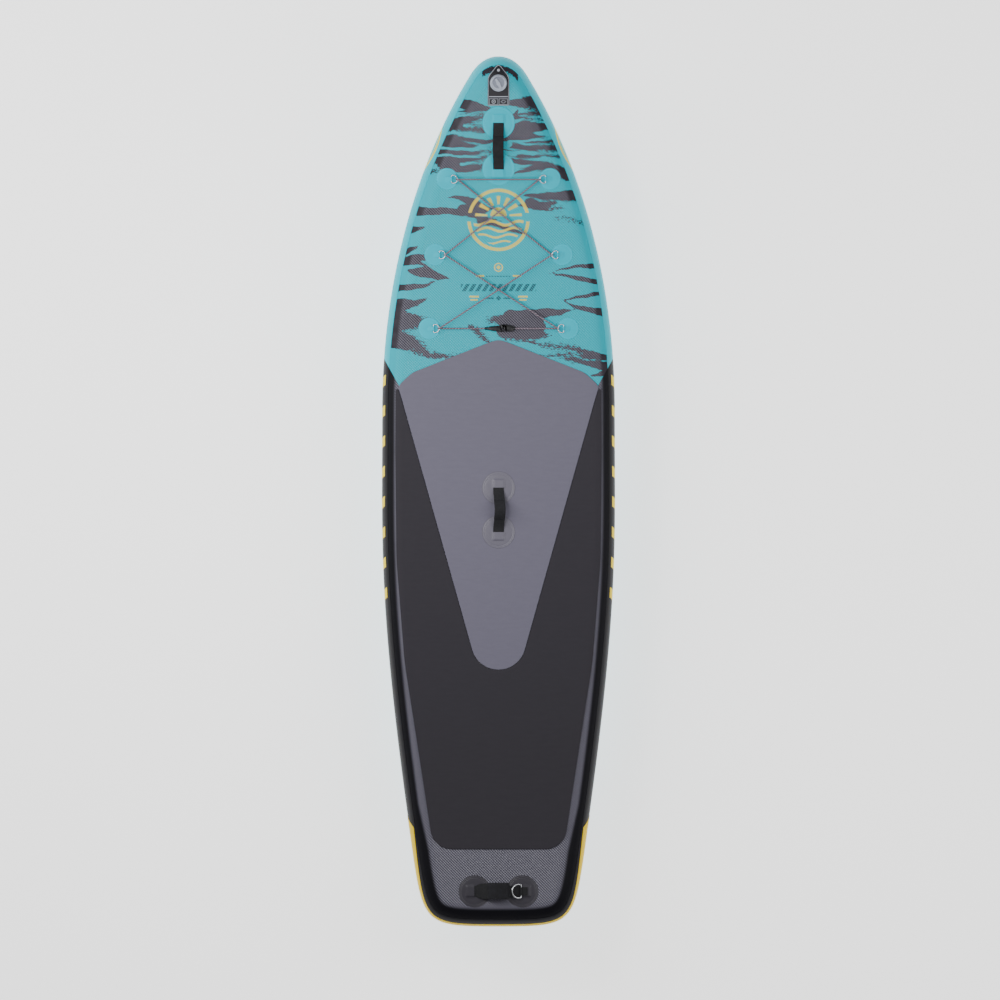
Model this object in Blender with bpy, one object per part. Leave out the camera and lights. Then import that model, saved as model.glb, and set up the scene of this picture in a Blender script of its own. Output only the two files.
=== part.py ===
"""Inflatable stand up paddleboard: drop-stitch hull, deck pads, webbing handles, cargo bungee,
inflation valve, leash ring and fins. Metres, +Z up, nose at +Y, flat bottom at z = 0."""

import math

import bmesh
import bpy
import numpy as np
from mathutils import Matrix, Vector

# Hull
LENGTH = 3.200
THICKNESS = 0.152
RAIL_R = THICKNESS / 2
NOSE_RAIL = 0.055
NOSE_RAIL_TO = 0.300
SKIN = 0.0010
RAIL_WALL = 0.0012
GAP = 0.0003
DECK_GAP = 0.0005
DECK_JOIN = 1.300
PAD_GAP = 0.0007
NOSE_ROCKER = 0.150
NOSE_POWER = 2.2
NOSE_ROCKER_FROM = 1.150
TAIL_ROCKER = 0.030
TAIL_ROCKER_FROM = 2.550

# Half outline as joined Bezier curves: (distance from the nose, half width)
NOSE_HANDLE = 0.060
SHOULDER = (0.068, 0.1045)
SHOULDER_ANGLE = math.radians(32)
SHOULDER_HANDLES = (0.024, 0.196)
WIDEST = (1.300, 0.429)
WIDEST_HANDLES = (0.648, 0.483)
QUARTER = (2.894, 0.3205)
QUARTER_ANGLE = math.radians(-8.15)
QUARTER_HANDLES = (0.890, 0.305)
TAIL_HANDLE = 0.275
TAIL_STEPS = (0, 0.17, 0.34, 0.51, 0.68, 0.85, 0.88, 0.91, 0.94, 0.97)
STATIONS = (4, 20, TAIL_STEPS, 7)
RAIL_ANGLES = (-90, -67.5, -45, -22.5, 0, 22.5, 45, 56.25, 67.5, 78.75, 90)

# Foam deck pads
PAD = 0.0045
KITE = ((0.0, 1.036), (0.0400, 1.0485), (0.3180, 1.158), (0.3700, 1.206), (0.1010, 2.165))
KITE_RADII = (0, 0.030, 0.090, 0.028)
KITE_END = 0.088
MAIN_PAD_BOTTOM = 2.914

# Sewn fittings
PATCH = 0.0012
STRAP = 0.0020
D_WIRE = 0.0020
D_RADIUS = 0.0150
D_CHORD = math.radians(57)
D_LIFT = math.radians(20)
CORD_R = 0.00275
CARGO = {"front": (0.446, 0.189), "mid": (0.7237, 0.234), "rear": (0.9954, 0.256)}

VALVE_S = 0.096
FIN_S = 2.840

collection = None
materials = {}


def clear():
    for obj in list(bpy.data.objects):
        bpy.data.objects.remove(obj, do_unlink=True)


def material(name, colour, roughness, metallic=0.0):
    made = bpy.data.materials.new(name)
    made.use_nodes = True
    shader = made.node_tree.nodes["Principled BSDF"]
    shader.inputs["Base Color"].default_value = (*colour, 1)
    shader.inputs["Roughness"].default_value = roughness
    shader.inputs["Metallic"].default_value = metallic
    made.diffuse_color = (*colour, 1)
    materials[name] = made


# ---------------------------------------------------------------- hull form


def bezier(a, b, c, d, t):
    """Point and tangent of a cubic."""
    a, b, c, d = (np.array(p, float) for p in (a, b, c, d))
    u = 1 - t
    point = u**3 * a + 3 * u * u * t * b + 3 * u * t * t * c + t**3 * d
    slope = 3 * (u * u * (b - a) + 2 * u * t * (c - b) + t * t * (d - c))
    return point, slope / np.hypot(*slope)


def half_outline(steps):
    """Rows (s, half width, inward normal in s and x) from the nose tip to the tail centre."""
    sh = np.array(SHOULDER)
    sd = np.array([math.cos(SHOULDER_ANGLE), math.sin(SHOULDER_ANGLE)])
    wi = np.array(WIDEST)
    qu = np.array(QUARTER)
    qd = np.array([math.cos(QUARTER_ANGLE), math.sin(QUARTER_ANGLE)])
    spans = (
        ((0, 0), (0, NOSE_HANDLE), sh - SHOULDER_HANDLES[0] * sd, sh),
        (sh, sh + SHOULDER_HANDLES[1] * sd, wi - (WIDEST_HANDLES[0], 0), wi),
        (wi, wi + (WIDEST_HANDLES[1], 0), qu - QUARTER_HANDLES[0] * qd, qu),
        (qu, qu + QUARTER_HANDLES[1] * qd, (LENGTH, TAIL_HANDLE), (LENGTH, 0)),
    )
    rows = []
    for span, places in zip(spans, steps):
        if isinstance(places, int):
            places = [k / places for k in range(places)]
        for t in places:
            point, slope = bezier(*span, t)
            rows.append((point[0], point[1], slope[1], -slope[0]))
    rows.append((LENGTH, 0.0, -1.0, 0.0))
    return rows


OUTLINE = half_outline(STATIONS)
FINE = np.array([(r[1], LENGTH / 2 - r[0]) for r in half_outline((30, 120, 80, 60))])


def rail_reach(s):
    """How far in the rail's rounding goes: less at the nose, where the section is tighter."""
    f = min(max(s / NOSE_RAIL_TO, 0.0), 1.0)
    return NOSE_RAIL + (RAIL_R - NOSE_RAIL) * f * f * (3 - 2 * f)


def rocker(y):
    """Height and slope of the hull's bend at y."""
    start = LENGTH / 2 - NOSE_ROCKER_FROM
    if y > start:
        run = LENGTH / 2 - start
        u = (y - start) / run
        rise = NOSE_ROCKER * u**NOSE_POWER
        return rise, NOSE_POWER * NOSE_ROCKER * u ** (NOSE_POWER - 1) / run
    start = LENGTH / 2 - TAIL_ROCKER_FROM
    if y < start:
        run = LENGTH / 2 + start
        u = (start - y) / run
        return TAIL_ROCKER * u * u, -2 * TAIL_ROCKER * u / run
    return 0.0, 0.0


def bend(x, y, h):
    """A point at height h from the hull's mid plane."""
    rise, slope = rocker(y)
    angle = math.atan(slope)
    return Vector((x, y - h * math.sin(angle), RAIL_R + rise + h * math.cos(angle)))


def inside(x, y):
    """Distance in from the outline at (x, y), the outward direction and the rail's reach there."""
    a = FINE[:-1]
    run = FINE[1:] - a
    p = np.array((abs(x), y))
    t = ((p - a) * run).sum(1) / (run**2).sum(1)
    off = a + np.clip(t, 0, 1)[:, None] * run - p
    away = np.hypot(*off.T)
    best = away.argmin()
    out = off[best] / max(away[best], 1e-9)
    reach = rail_reach(LENGTH / 2 - (p + off[best])[1])
    return away[best], out[0] * (1 if x >= 0 else -1), out[1], reach


def deck(x, s, h=0.0, side=1):
    """A point h above the deck (side 1) or below the bottom (side -1), s from the nose in plan."""
    wanted = LENGTH / 2 - s
    y = wanted
    for _ in range(8):
        y = wanted + side * RAIL_R * math.sin(math.atan(rocker(y)[1]))
    away, out_x, out_y, reach = inside(x, y)
    f = min(max(1 - away / reach, 0.0), 0.98)
    up = math.sqrt(1 - f * f)
    normal = Vector((f / reach, up / RAIL_R)).normalized() * h
    return bend(x + normal.x * out_x, y + normal.x * out_y, side * (RAIL_R * up + normal.y))


def deck_frame(x, s, h=0.0, heading=0.0, side=1):
    """Matrix at a deck point: local Z out of the hull, local Y towards the nose turned by heading."""
    origin = deck(x, s, h, side)
    z = (deck(x, s, h + 0.01, side) - origin).normalized()
    y = deck(x, s - 0.005, h, side) - deck(x, s + 0.005, h, side)
    y = (y - y.dot(z) * z).normalized()
    axes = Matrix((y.cross(z), y, z)).transposed().to_4x4()
    return Matrix.Translation(origin) @ axes @ Matrix.Rotation(heading, 4, "Z")


# ---------------------------------------------------------------- builders


def add(name, mesh, slot, parent=None, smooth=30):
    obj = bpy.data.objects.new(name, mesh)
    collection.objects.link(obj)
    if slot not in [m.name for m in mesh.materials if m]:
        mesh.materials.append(materials[slot])
    if parent is not None:
        mesh.transform(parent.matrix_world.inverted())
        obj.parent = parent
    mesh.shade_smooth()
    mesh.set_sharp_from_angle(angle=math.radians(smooth))
    return obj


def joint_frame(name, matrix):
    """An empty that a moving piece hangs from."""
    empty = bpy.data.objects.new(name, None)
    empty.empty_display_size = 0.02
    empty.matrix_world = matrix
    collection.objects.link(empty)
    bpy.context.view_layer.update()
    return empty


def mesh_of(name, points, faces):
    bm = bmesh.new()
    made = [bm.verts.new(p) for p in points]
    for face in faces:
        bm.faces.new([made[i] for i in face])
    bmesh.ops.recalc_face_normals(bm, faces=bm.faces)
    mesh = bpy.data.meshes.new(name)
    bm.to_mesh(mesh)
    bm.free()
    return mesh


def loft(name, loops, slot, parent=None, closed=False, smooth=30):
    """Closed loops of points joined in order, with flat ends unless the loft closes on itself."""
    size = len(loops[0])
    points = [p for one in loops for p in one]
    faces = []
    last = len(loops) if closed else len(loops) - 1
    for i in range(last):
        a = i * size
        b = (i + 1) % len(loops) * size
        for j in range(size):
            k = (j + 1) % size
            faces.append((a + j, a + k, b + k, b + j))
    if not closed:
        faces.append(tuple(range(size))[::-1])
        faces.append(tuple((len(loops) - 1) * size + j for j in range(size)))
    return add(name, mesh_of(name, points, faces), slot, parent, smooth)


def sheet(name, rows, low, high, slot, side=1):
    """A layer on the hull. Rows of plan points run across it; a row of one point ends it."""
    points = []
    index = {}
    for i, row in enumerate(rows):
        for j, (x, s) in enumerate(row):
            for level, h in enumerate((low, high)):
                index[i, j, level] = len(points)
                points.append(deck(x, s, h, side))
    faces = []
    for i in range(len(rows) - 1):
        a, b = len(rows[i]) - 1, len(rows[i + 1]) - 1
        for j in range(max(a, b)):
            quad = [(i, j), (i, j + 1), (i + 1, j + 1), (i + 1, j)]
            quad = [(r, min(c, len(rows[r]) - 1)) for r, c in quad]
            quad = [q for n, q in enumerate(quad) if q != quad[n - 1]]
            faces += [[index[r, c, level] for r, c in quad] for level in (0, 1)]
        for c, d in ((0, 0), (a, b)):
            faces.append([index[i, c, 0], index[i, c, 1], index[i + 1, d, 1], index[i + 1, d, 0]])
    for i in (0, len(rows) - 1):
        for j in range(len(rows[i]) - 1):
            faces.append([index[i, j, 0], index[i, j + 1, 0], index[i, j + 1, 1], index[i, j, 1]])
    return add(name, mesh_of(name, points, faces), slot)


def rings(name, loops, low, high, slot, centre=None):
    """A layer on the deck from an outer plan loop inwards, to a centre point or a hole."""
    size = len(loops[0])
    count = len(loops) * size
    points = [deck(x, s, h) for h in (low, high) for one in loops for x, s in one]
    faces = []
    for level in (0, count):
        for i in range(len(loops) - 1):
            for j in range(size):
                k = (j + 1) % size
                a, b = level + i * size, level + (i + 1) * size
                faces.append((a + j, a + k, b + k, b + j))
    for i in (0,) if centre else (0, len(loops) - 1):
        for j in range(size):
            k = (j + 1) % size
            a = i * size
            faces.append((a + j, a + k, count + a + k, count + a + j))
    if centre:
        for level, h in ((0, low), (count, high)):
            points.append(deck(*centre, h))
            a = level + (len(loops) - 1) * size
            faces += [(a + j, a + (j + 1) % size, len(points) - 1) for j in range(size)]
    return add(name, mesh_of(name, points, faces), slot)


def disc(name, x, s, radius, low, high, slot, count=20, steps=3):
    loops = [
        [
            (
                x + radius * f / steps * math.cos(2 * math.pi * k / count),
                s + radius * f / steps * math.sin(2 * math.pi * k / count),
            )
            for k in range(count)
        ]
        for f in range(steps, 0, -1)
    ]
    return rings(name, loops, low, high, slot, centre=(x, s))


def turned(name, profile, frame, slot, parent=None, steps=28):
    """A closed profile of (radius, height) turned about a frame's Z axis."""
    loops = []
    for k in range(steps):
        turn = Matrix.Rotation(2 * math.pi * k / steps, 4, "Z")
        loops.append([frame @ turn @ Vector((r, 0, z)) for r, z in profile])
    return loft(name, loops, slot, parent, closed=True)


def turned_solid(name, profile, frame, slot, parent=None, steps=28):
    """The same for a profile whose first and last points lie on the axis."""
    points = [frame @ Vector((0, 0, profile[0][1])), frame @ Vector((0, 0, profile[-1][1]))]
    inner = profile[1:-1]
    for k in range(steps):
        turn = Matrix.Rotation(2 * math.pi * k / steps, 4, "Z")
        points += [frame @ turn @ Vector((r, 0, z)) for r, z in inner]
    faces = []
    size = len(inner)
    for k in range(steps):
        a = 2 + k * size
        b = 2 + (k + 1) % steps * size
        faces += [(a + j, a + j + 1, b + j + 1, b + j) for j in range(size - 1)]
        faces.append((0, a, b))
        faces.append((1, b + size - 1, a + size - 1))
    return add(name, mesh_of(name, points, faces), slot, parent)


def prism(name, outline, frame, low, high, slot, parent=None):
    """A flat outline in the frame's X and Y, from height low to high."""
    loops = [[frame @ Vector((x, y, z)) for x, y in outline] for z in (low, high)]
    return loft(name, loops, slot, parent)


def wire(name, path, radius, slot, closed=False, parent=None, resolution=2):
    """A round wire or cord along a path."""
    curve = bpy.data.curves.new(name, "CURVE")
    curve.dimensions = "3D"
    curve.bevel_depth = radius
    curve.bevel_resolution = resolution
    curve.use_fill_caps = not closed
    spline = curve.splines.new("POLY")
    spline.points.add(len(path) - 1)
    inverse = parent.matrix_world.inverted() if parent else Matrix()
    for point, place in zip(spline.points, path):
        point.co = (*(inverse @ place), 1)
    spline.use_cyclic_u = closed
    spline.use_smooth = True
    curve.materials.append(materials[slot])
    obj = bpy.data.objects.new(name, curve)
    collection.objects.link(obj)
    obj.parent = parent
    return obj


def rounded(corners, radii, steps=5):
    """An open run of plan points with its inner corners rounded."""
    out = [corners[0]]
    for a, b, c, r in zip(corners, corners[1:], corners[2:], radii[1:]):
        a, b, c = (Vector(p) for p in (a, b, c))
        u, v = (a - b).normalized(), (c - b).normalized()
        if r == 0:
            out.append(tuple(b))
            continue
        half = u.angle(v) / 2
        start, end = b + u * r / math.tan(half), b + v * r / math.tan(half)
        middle = b + (u + v).normalized() * r / math.sin(half)
        first, last = (start - middle).normalized(), (end - middle).normalized()
        for k in range(steps + 1):
            turned_by = first.slerp(last, k / steps) * r
            out.append(tuple(middle + turned_by))
    out.append(corners[-1])
    return out


# ---------------------------------------------------------------- pieces


def rail_point(row, sign, angle, out=0.0):
    """A point on the rail's round section at one outline row, moved out from its surface."""
    s, w, n_s, n_x = row
    reach = rail_reach(s)
    inset = reach - (reach + out) * math.cos(angle)
    x = w + n_x * inset
    y = LENGTH / 2 - (s + n_s * inset)
    return bend(sign * x, y, (RAIL_R + out) * math.sin(angle))


def rails():
    outer = [math.radians(a) for a in RAIL_ANGLES]
    for name, sign in (("rail_left", -1), ("rail_right", 1)):
        loops = []
        for i, row in enumerate(OUTLINE):
            loop = [rail_point(row, sign, a) for a in outer]
            loop += [rail_point(row, sign, a, -RAIL_WALL) for a in outer[::-1]]
            if i in (0, len(OUTLINE) - 1):
                loop = [p + Vector((sign * GAP / 2, 0, 0)) for p in loop]
            loops.append(loop)
        loft(name, loops, "rail_pvc", smooth=40)


def skins():
    """Flat top and bottom faces, butted against the rails. The deck is two lengths of fabric."""
    join = min(range(len(OUTLINE)), key=lambda i: abs(OUTLINE[i][0] - DECK_JOIN))
    s, w, n_s, n_x = OUTLINE[join]
    rear = [(s + GAP, w, n_s, n_x)] + list(OUTLINE[join + 1 :])
    for name, side, slot, outline in (
        ("deck_skin_front", 1, "deck_pvc", OUTLINE[: join + 1]),
        ("deck_skin_rear", 1, "rear_pvc", rear),
        ("bottom_skin", -1, "hull_pvc", OUTLINE),
    ):
        levels = []
        for h in (RAIL_R - SKIN, RAIL_R):
            row_points = []
            for s, w, n_s, n_x in outline:
                inset = rail_reach(s) + GAP
                x = w + n_x * inset
                y = LENGTH / 2 - (s + n_s * inset)
                if x < 1e-6:
                    row_points.append([bend(0, y, side * h)])
                else:
                    row_points.append([bend(-x, y, side * h), bend(x, y, side * h)])
            levels.append(row_points)
        points = []
        index = []
        for level in levels:
            marks = []
            for row in level:
                marks.append([len(points) + k for k in range(len(row))])
                points += row
            index.append(marks)
        faces = []
        low, high = index
        for i in range(len(low) - 1):
            for marks in (low, high):
                a, b = marks[i], marks[i + 1]
                faces.append(a + b[::-1])
            for c in (0, -1):
                faces.append((low[i][c], low[i + 1][c], high[i + 1][c], high[i][c]))
        for i in (0, -1):
            if len(low[i]) == 2:
                faces.append((low[i][0], low[i][1], high[i][1], high[i][0]))
        mesh = mesh_of(name, points, faces)
        if name == "deck_skin_front":
            cut_valve_hole(mesh)
        add(name, mesh, slot)


def cut_valve_hole(mesh):
    """The round hole that the valve's barrel passes through."""
    skin = bpy.data.objects.new("skin_blank", mesh)
    collection.objects.link(skin)
    bm = bmesh.new()
    bmesh.ops.create_cone(
        bm, cap_ends=True, segments=24, radius1=0.0130, radius2=0.0130, depth=0.03
    )
    cutter_mesh = bpy.data.meshes.new("valve_hole")
    bm.to_mesh(cutter_mesh)
    bm.free()
    cutter = bpy.data.objects.new("valve_hole", cutter_mesh)
    cutter.matrix_world = deck_frame(0, VALVE_S)
    collection.objects.link(cutter)
    boolean = skin.modifiers.new("hole", "BOOLEAN")
    boolean.operation = "DIFFERENCE"
    boolean.solver = "EXACT"
    boolean.object = cutter
    bpy.context.view_layer.update()
    graph = bpy.context.evaluated_depsgraph_get()
    cut = bpy.data.meshes.new_from_object(skin.evaluated_get(graph))
    bm = bmesh.new()
    bm.from_mesh(cut)
    bm.to_mesh(mesh)
    bm.free()
    bpy.data.objects.remove(skin)
    bpy.data.objects.remove(cutter)


def core():
    """Two base cloths tied by rows of thread, the drop-stitch core, as a ladder-shaped solid."""
    cloth = 0.0012
    web = 0.004
    top = RAIL_R - SKIN - 0.0012
    rows = []
    places = np.arange(0.20, 3.05, 0.0625)
    for k, s in enumerate(places):
        rows.append((s, False))
        if k % 4 == 2:
            rows.append((s + web, True))
    points = []
    for s, _ in rows:
        y = LENGTH / 2 - s
        w = float(np.interp(-y, -FINE[:, 1], FINE[:, 0]))
        x = 0.80 * max(w - RAIL_R, 0.02)
        for h in (-top, -top + cloth, top - cloth, top):
            for sign in (-1, 1):
                points.append(bend(sign * x, y, h))
    faces = []

    def at(row, level, sign):
        return row * 8 + level * 2 + (sign > 0)

    for i in range(len(rows) - 1):
        tied = rows[i + 1][1]
        across = (0, 3) if tied else (0, 1, 2, 3)
        for level in across:
            faces.append([at(i, level, -1), at(i, level, 1), at(i + 1, level, 1), at(i + 1, level, -1)])
        for low, high in ((0, 1), (1, 2), (2, 3)) if tied else ((0, 1), (2, 3)):
            for sign in (-1, 1):
                faces.append(
                    [at(i, low, sign), at(i, high, sign), at(i + 1, high, sign), at(i + 1, low, sign)]
                )
        for row in (i, i + 1) if tied else ():
            faces.append([at(row, 1, -1), at(row, 1, 1), at(row, 2, 1), at(row, 2, -1)])
    for row in (0, len(rows) - 1):
        for low in (0, 2):
            faces.append([at(row, low, -1), at(row, low, 1), at(row, low + 1, 1), at(row, low + 1, -1)])
    add("drop_stitch_core", mesh_of("drop_stitch_core", points, faces), "core_cloth")


def tail_band():
    """The second strip of fabric glued round the rail at the tail."""
    chosen = [row for row in OUTLINE if row[0] > 2.79]
    ends = [(row, -1) for row in chosen] + [(row, 1) for row in chosen[-2::-1]]
    loops = []
    for row, sign in ends:
        far = (row[0] - 2.79) / (LENGTH - 2.79)
        angles = [math.radians(a) for a in (-36, -22.5, 0, 22.5, 40 - 12 * far)]
        loop = [rail_point(row, sign, a, DECK_GAP + 0.0008) for a in angles]
        loop += [rail_point(row, sign, a, DECK_GAP) for a in angles[::-1]]
        loops.append(loop)
    loft("tail_rail_band", loops, "band_yellow", smooth=40)


def kite_half():
    """Right-hand edge of the kite pad, from its point to its round end."""
    run = rounded(KITE, KITE_RADII, 4)
    run = run[:-2] + evenly(run[-2:], 18)
    end_w, end_s = KITE[-1]
    for k in range(1, 6):
        a = math.pi / 2 * k / 5
        run.append((end_w * math.cos(a) if k < 5 else 0.0, end_s + KITE_END * math.sin(a)))
    return run


def kite_pad():
    rows = []
    for w, s in kite_half():
        if w < 1e-6:
            rows.append([(0.0, s)])
        else:
            rows.append([(w * f, s) for f in (-1, -0.965, -0.93, 0.93, 0.965, 1)])
    sheet("deck_pad_centre", rows, PAD_GAP, PAD_GAP + PAD, "pad_grey")


def evenly(run, count):
    """The run of plan points as count points spaced evenly along it."""
    run = np.array(run, float)
    along = np.concatenate(([0], np.cumsum(np.hypot(*np.diff(run, axis=0).T))))
    wanted = np.linspace(0, along[-1], count)
    return [tuple(float(np.interp(a, along, run[:, n])) for n in (0, 1)) for a in wanted]


def main_pad():
    """The dark pad that runs round the kite pad to the tail."""
    split = 0.0025
    inner = [(w + split, s) for w, s in kite_half() if 1.218 < s < 2.16 and w > 0.1]
    inner = evenly(inner, 17)
    end_w, end_s = KITE[-1]
    for k in range(7):
        a = math.pi / 2 * k / 6
        w = (end_w + split) * math.cos(a) if k < 6 else 0.0
        inner.append((w, end_s + (KITE_END + split) * math.sin(a)))
    corners = ((0.3780, 1.222), (0.3790, 1.45), (0.3750, 1.850), (0.3450, 2.229), (0.2670, 2.737))
    corners += ((0.2400, MAIN_PAD_BOTTOM), (0.0, MAIN_PAD_BOTTOM))
    outer = rounded(corners, (0, 1.0, 1.2, 1.2, 0.0, 0.078), 3)
    outer = evenly(outer, 24)
    rows = []
    for (xi, si), (xo, so) in zip(inner, outer):
        across = math.dist((xi, si), (xo, so))
        cuts = [0, min(0.011 / across, 0.3), min(0.022 / across, 0.6)]
        cuts += list(np.linspace(cuts[-1], 1, 5)[1:])
        rows.append([(xo + (xi - xo) * f, so + (si - so) * f) for f in cuts])
    rows = [[(-x, s) for x, s in row] for row in rows] + rows[-2::-1]
    sheet("deck_pad_main", rows, PAD_GAP, PAD_GAP + PAD, "pad_dark")


def label():
    """Film label under the valve, with a pointed front and a hole for the barrel."""
    half = [(0.0, 0.036), (0.009, 0.040), (0.0335, 0.067), (0.0395, 0.080), (0.0400, 0.176)]
    half.append((0.0370, 0.179))
    run = half + [(0.0, 0.179)]
    side = evenly(run, 14)
    outer = side + [(-x, s) for x, s in side[-2:0:-1]]
    loops = [outer]
    for f in (0.75, 0.5, 0.25, 0.0):
        loop = []
        for x, s in outer:
            a = math.atan2(s - VALVE_S, x)
            rim = (0.0136 * math.cos(a), VALVE_S + 0.0136 * math.sin(a))
            loop.append((rim[0] + (x - rim[0]) * f, rim[1] + (s - rim[1]) * f))
        loops.append(loop)
    rings("nose_label_patch", loops, PAD_GAP, PAD_GAP + 0.0006, "label_black")


def valve():
    frame = deck_frame(0, VALVE_S, 0.0022)
    body = [(0.0125, -0.024), (0.0125, 0.0), (0.0310, 0.0), (0.0318, 0.0012), (0.0310, 0.0024)]
    body += [(0.0255, 0.0026), (0.0255, 0.0130), (0.0215, 0.0130), (0.0215, 0.0030)]
    body += [(0.0062, 0.0030), (0.0062, -0.0100), (0.0105, -0.0100), (0.0105, -0.024)]
    turned("valve_body", body, frame, "valve_grey")
    nut = [(0.0128, -0.0110), (0.0195, -0.0110), (0.0195, -0.0050), (0.0128, -0.0050)]
    turned("valve_back_nut", nut, frame, "valve_grey", steps=18)
    lift = joint_frame("valve_cap_lift", frame)
    cap = [(0.0, 0.0142), (0.0258, 0.0142), (0.0258, 0.0029), (0.0290, 0.0029)]
    cap += [(0.0290, 0.0155), (0.0270, 0.0175), (0.0110, 0.0182), (0.0, 0.0182)]
    turned_solid("valve_cap", cap, frame, "valve_silver", lift)
    press = joint_frame("valve_pin_press", frame)
    pin = [(0.0, -0.0160), (0.0095, -0.0160), (0.0095, -0.0104), (0.0030, -0.0104)]
    pin += [(0.0030, 0.0070), (0.0055, 0.0080), (0.0055, 0.0136), (0.0, 0.0136)]
    turned_solid("valve_pin", pin, frame, "valve_pin_plastic", press, steps=18)


def strap_handle(name, ends, base, arch, colours, radius, heading, grip=0.0205):
    """Two welded patches, a webbing strap that bows up between them, its grip and two covers."""
    patch_slot, cover_slot = colours
    a, b = (np.array(e) for e in ends)
    span = b - a
    length = float(np.hypot(*span))
    run = span / length
    across = np.array((run[1], -run[0]))
    top = base + PATCH

    def plan(u, v):
        return tuple(a + run * u + across * v)

    marks = ("fore", "aft") if heading == 0 else ("left", "right")
    for mark, (x, s) in zip(marks, ends):
        disc(f"{name}_patch_{mark}", x, s, radius, base, top, patch_slot, steps=3)

    def lift(u):
        if u < 0 or u > length:
            return top + GAP
        return top + GAP + arch * math.sin(math.pi * u / length) ** 2

    overlap = 0.026
    half = 0.0195
    stations = [-overlap, -overlap / 2] + list(np.linspace(0, length, 13))
    stations += [length + overlap / 2, length + overlap]
    loops = []
    for u in stations:
        h = lift(u)
        loop = [deck(*plan(u, v), h) for v in (-half, half)]
        loop += [deck(*plan(u, v), h + STRAP) for v in (half, -half)]
        loops.append(loop)
    loft(f"{name}_strap", loops, "webbing_black")

    middle = plan(length / 2, 0)
    hinge = joint_frame(f"{name}_flop", deck_frame(*middle, top, heading))
    loops = []
    for step in range(-3, 4):
        u = length * (0.5 + step / 12)
        swell = (1.0, 0.96, 0.82, 0.40)[abs(step)]
        wide = half + 0.0005 + (grip - half + 0.0035) * swell
        h = lift(u)
        low, high = h + STRAP + GAP, h + STRAP + GAP + 0.0012 + 0.0035 * swell
        loop = [(-wide, low), (wide, low), (wide, high - 0.001), (wide - 0.003, high)]
        loop += [(-wide + 0.003, high), (-wide, high - 0.001)]
        loops.append([deck(*plan(u, v), z) for v, z in loop])
    loft(f"{name}_grip", loops, "neoprene_black", hinge)

    for mark, inner, outer in ((marks[0], -0.001, -0.034), (marks[1], length + 0.001, length + 0.034)):
        profile = [(-0.0255, GAP), (-0.0255, 0.0030), (-0.0225, 0.0040), (0.0225, 0.0040)]
        profile += [(0.0255, 0.0030), (0.0255, GAP), (0.0200, GAP), (0.0200, STRAP + 2 * GAP)]
        profile += [(-0.0200, STRAP + 2 * GAP), (-0.0200, GAP)]
        loops = [
            [deck(*plan(u, v), top + z) for v, z in profile]
            for u in np.linspace(inner, outer, 4)
        ]
        loft(f"{name}_cover_{mark}", loops, cover_slot)


def d_path(frame, radius, chord, count):
    """The centreline of a wire D. Its straight bar lies along the frame's Y, its bow towards -X."""
    open_by = math.pi - chord
    path = []
    for k in range(count):
        a = -open_by + 2 * open_by * k / (count - 1)
        bow = -radius * (math.cos(a) + math.cos(chord))
        path.append(frame @ Vector((bow, radius * math.sin(a), 0)))
    return path


def webbing_loop(name, flat, hole, half, low, slot):
    """Webbing wrapped round a bar along the frame's Y, with its tail laid flat along X."""
    wall = 0.0016
    angles = [math.radians(-64 - 32 * k) for k in range(10)]
    outline = [((hole + wall) * math.cos(a), (hole + wall) * math.sin(a)) for a in angles]
    outline += [(0.0230, low + 0.0014), (0.0230, low), (hole + 0.0009, low)]
    outline += [(hole * math.cos(a), hole * math.sin(a)) for a in angles[::-1]]
    loops = [[flat @ Vector((x, y, z)) for x, z in outline] for y in (-half, half)]
    loft(name, loops, slot)


def cargo_anchor(place, side):
    """Welded patch, webbing loop and hinged D-ring. Returns where the cord wraps the ring."""
    s, x = CARGO[place]
    tag = f"cargo_{place}_" + ("left" if side < 0 else "right")
    disc(f"{tag}_patch", side * x, s, 0.0395, DECK_GAP, DECK_GAP + PATCH, "patch_teal")
    top = DECK_GAP + PATCH
    bar_h = top + GAP + 0.0040
    bar_x = side * (x - 0.0160)
    flat = deck_frame(bar_x, s, bar_h)
    if side < 0:
        flat = flat @ Matrix.Rotation(math.pi, 4, "Z")
    # The frame's X now points outboard. The ring tips up towards the centreline.
    hinge = joint_frame(f"{tag}_swing", flat)
    tilted = flat @ Matrix.Rotation(D_LIFT, 4, "Y")
    path = d_path(tilted, D_RADIUS, D_CHORD, 19)
    wire(f"{tag}_ring", path, D_WIRE, "ring_steel", True, hinge, 1)
    webbing_loop(f"{tag}_loop", flat, 0.0024, 0.0085, -0.0040, "patch_teal")
    tip = -D_RADIUS * (1 + math.cos(D_CHORD))
    return tilted @ Vector((tip, 0, 0)), flat


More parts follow.
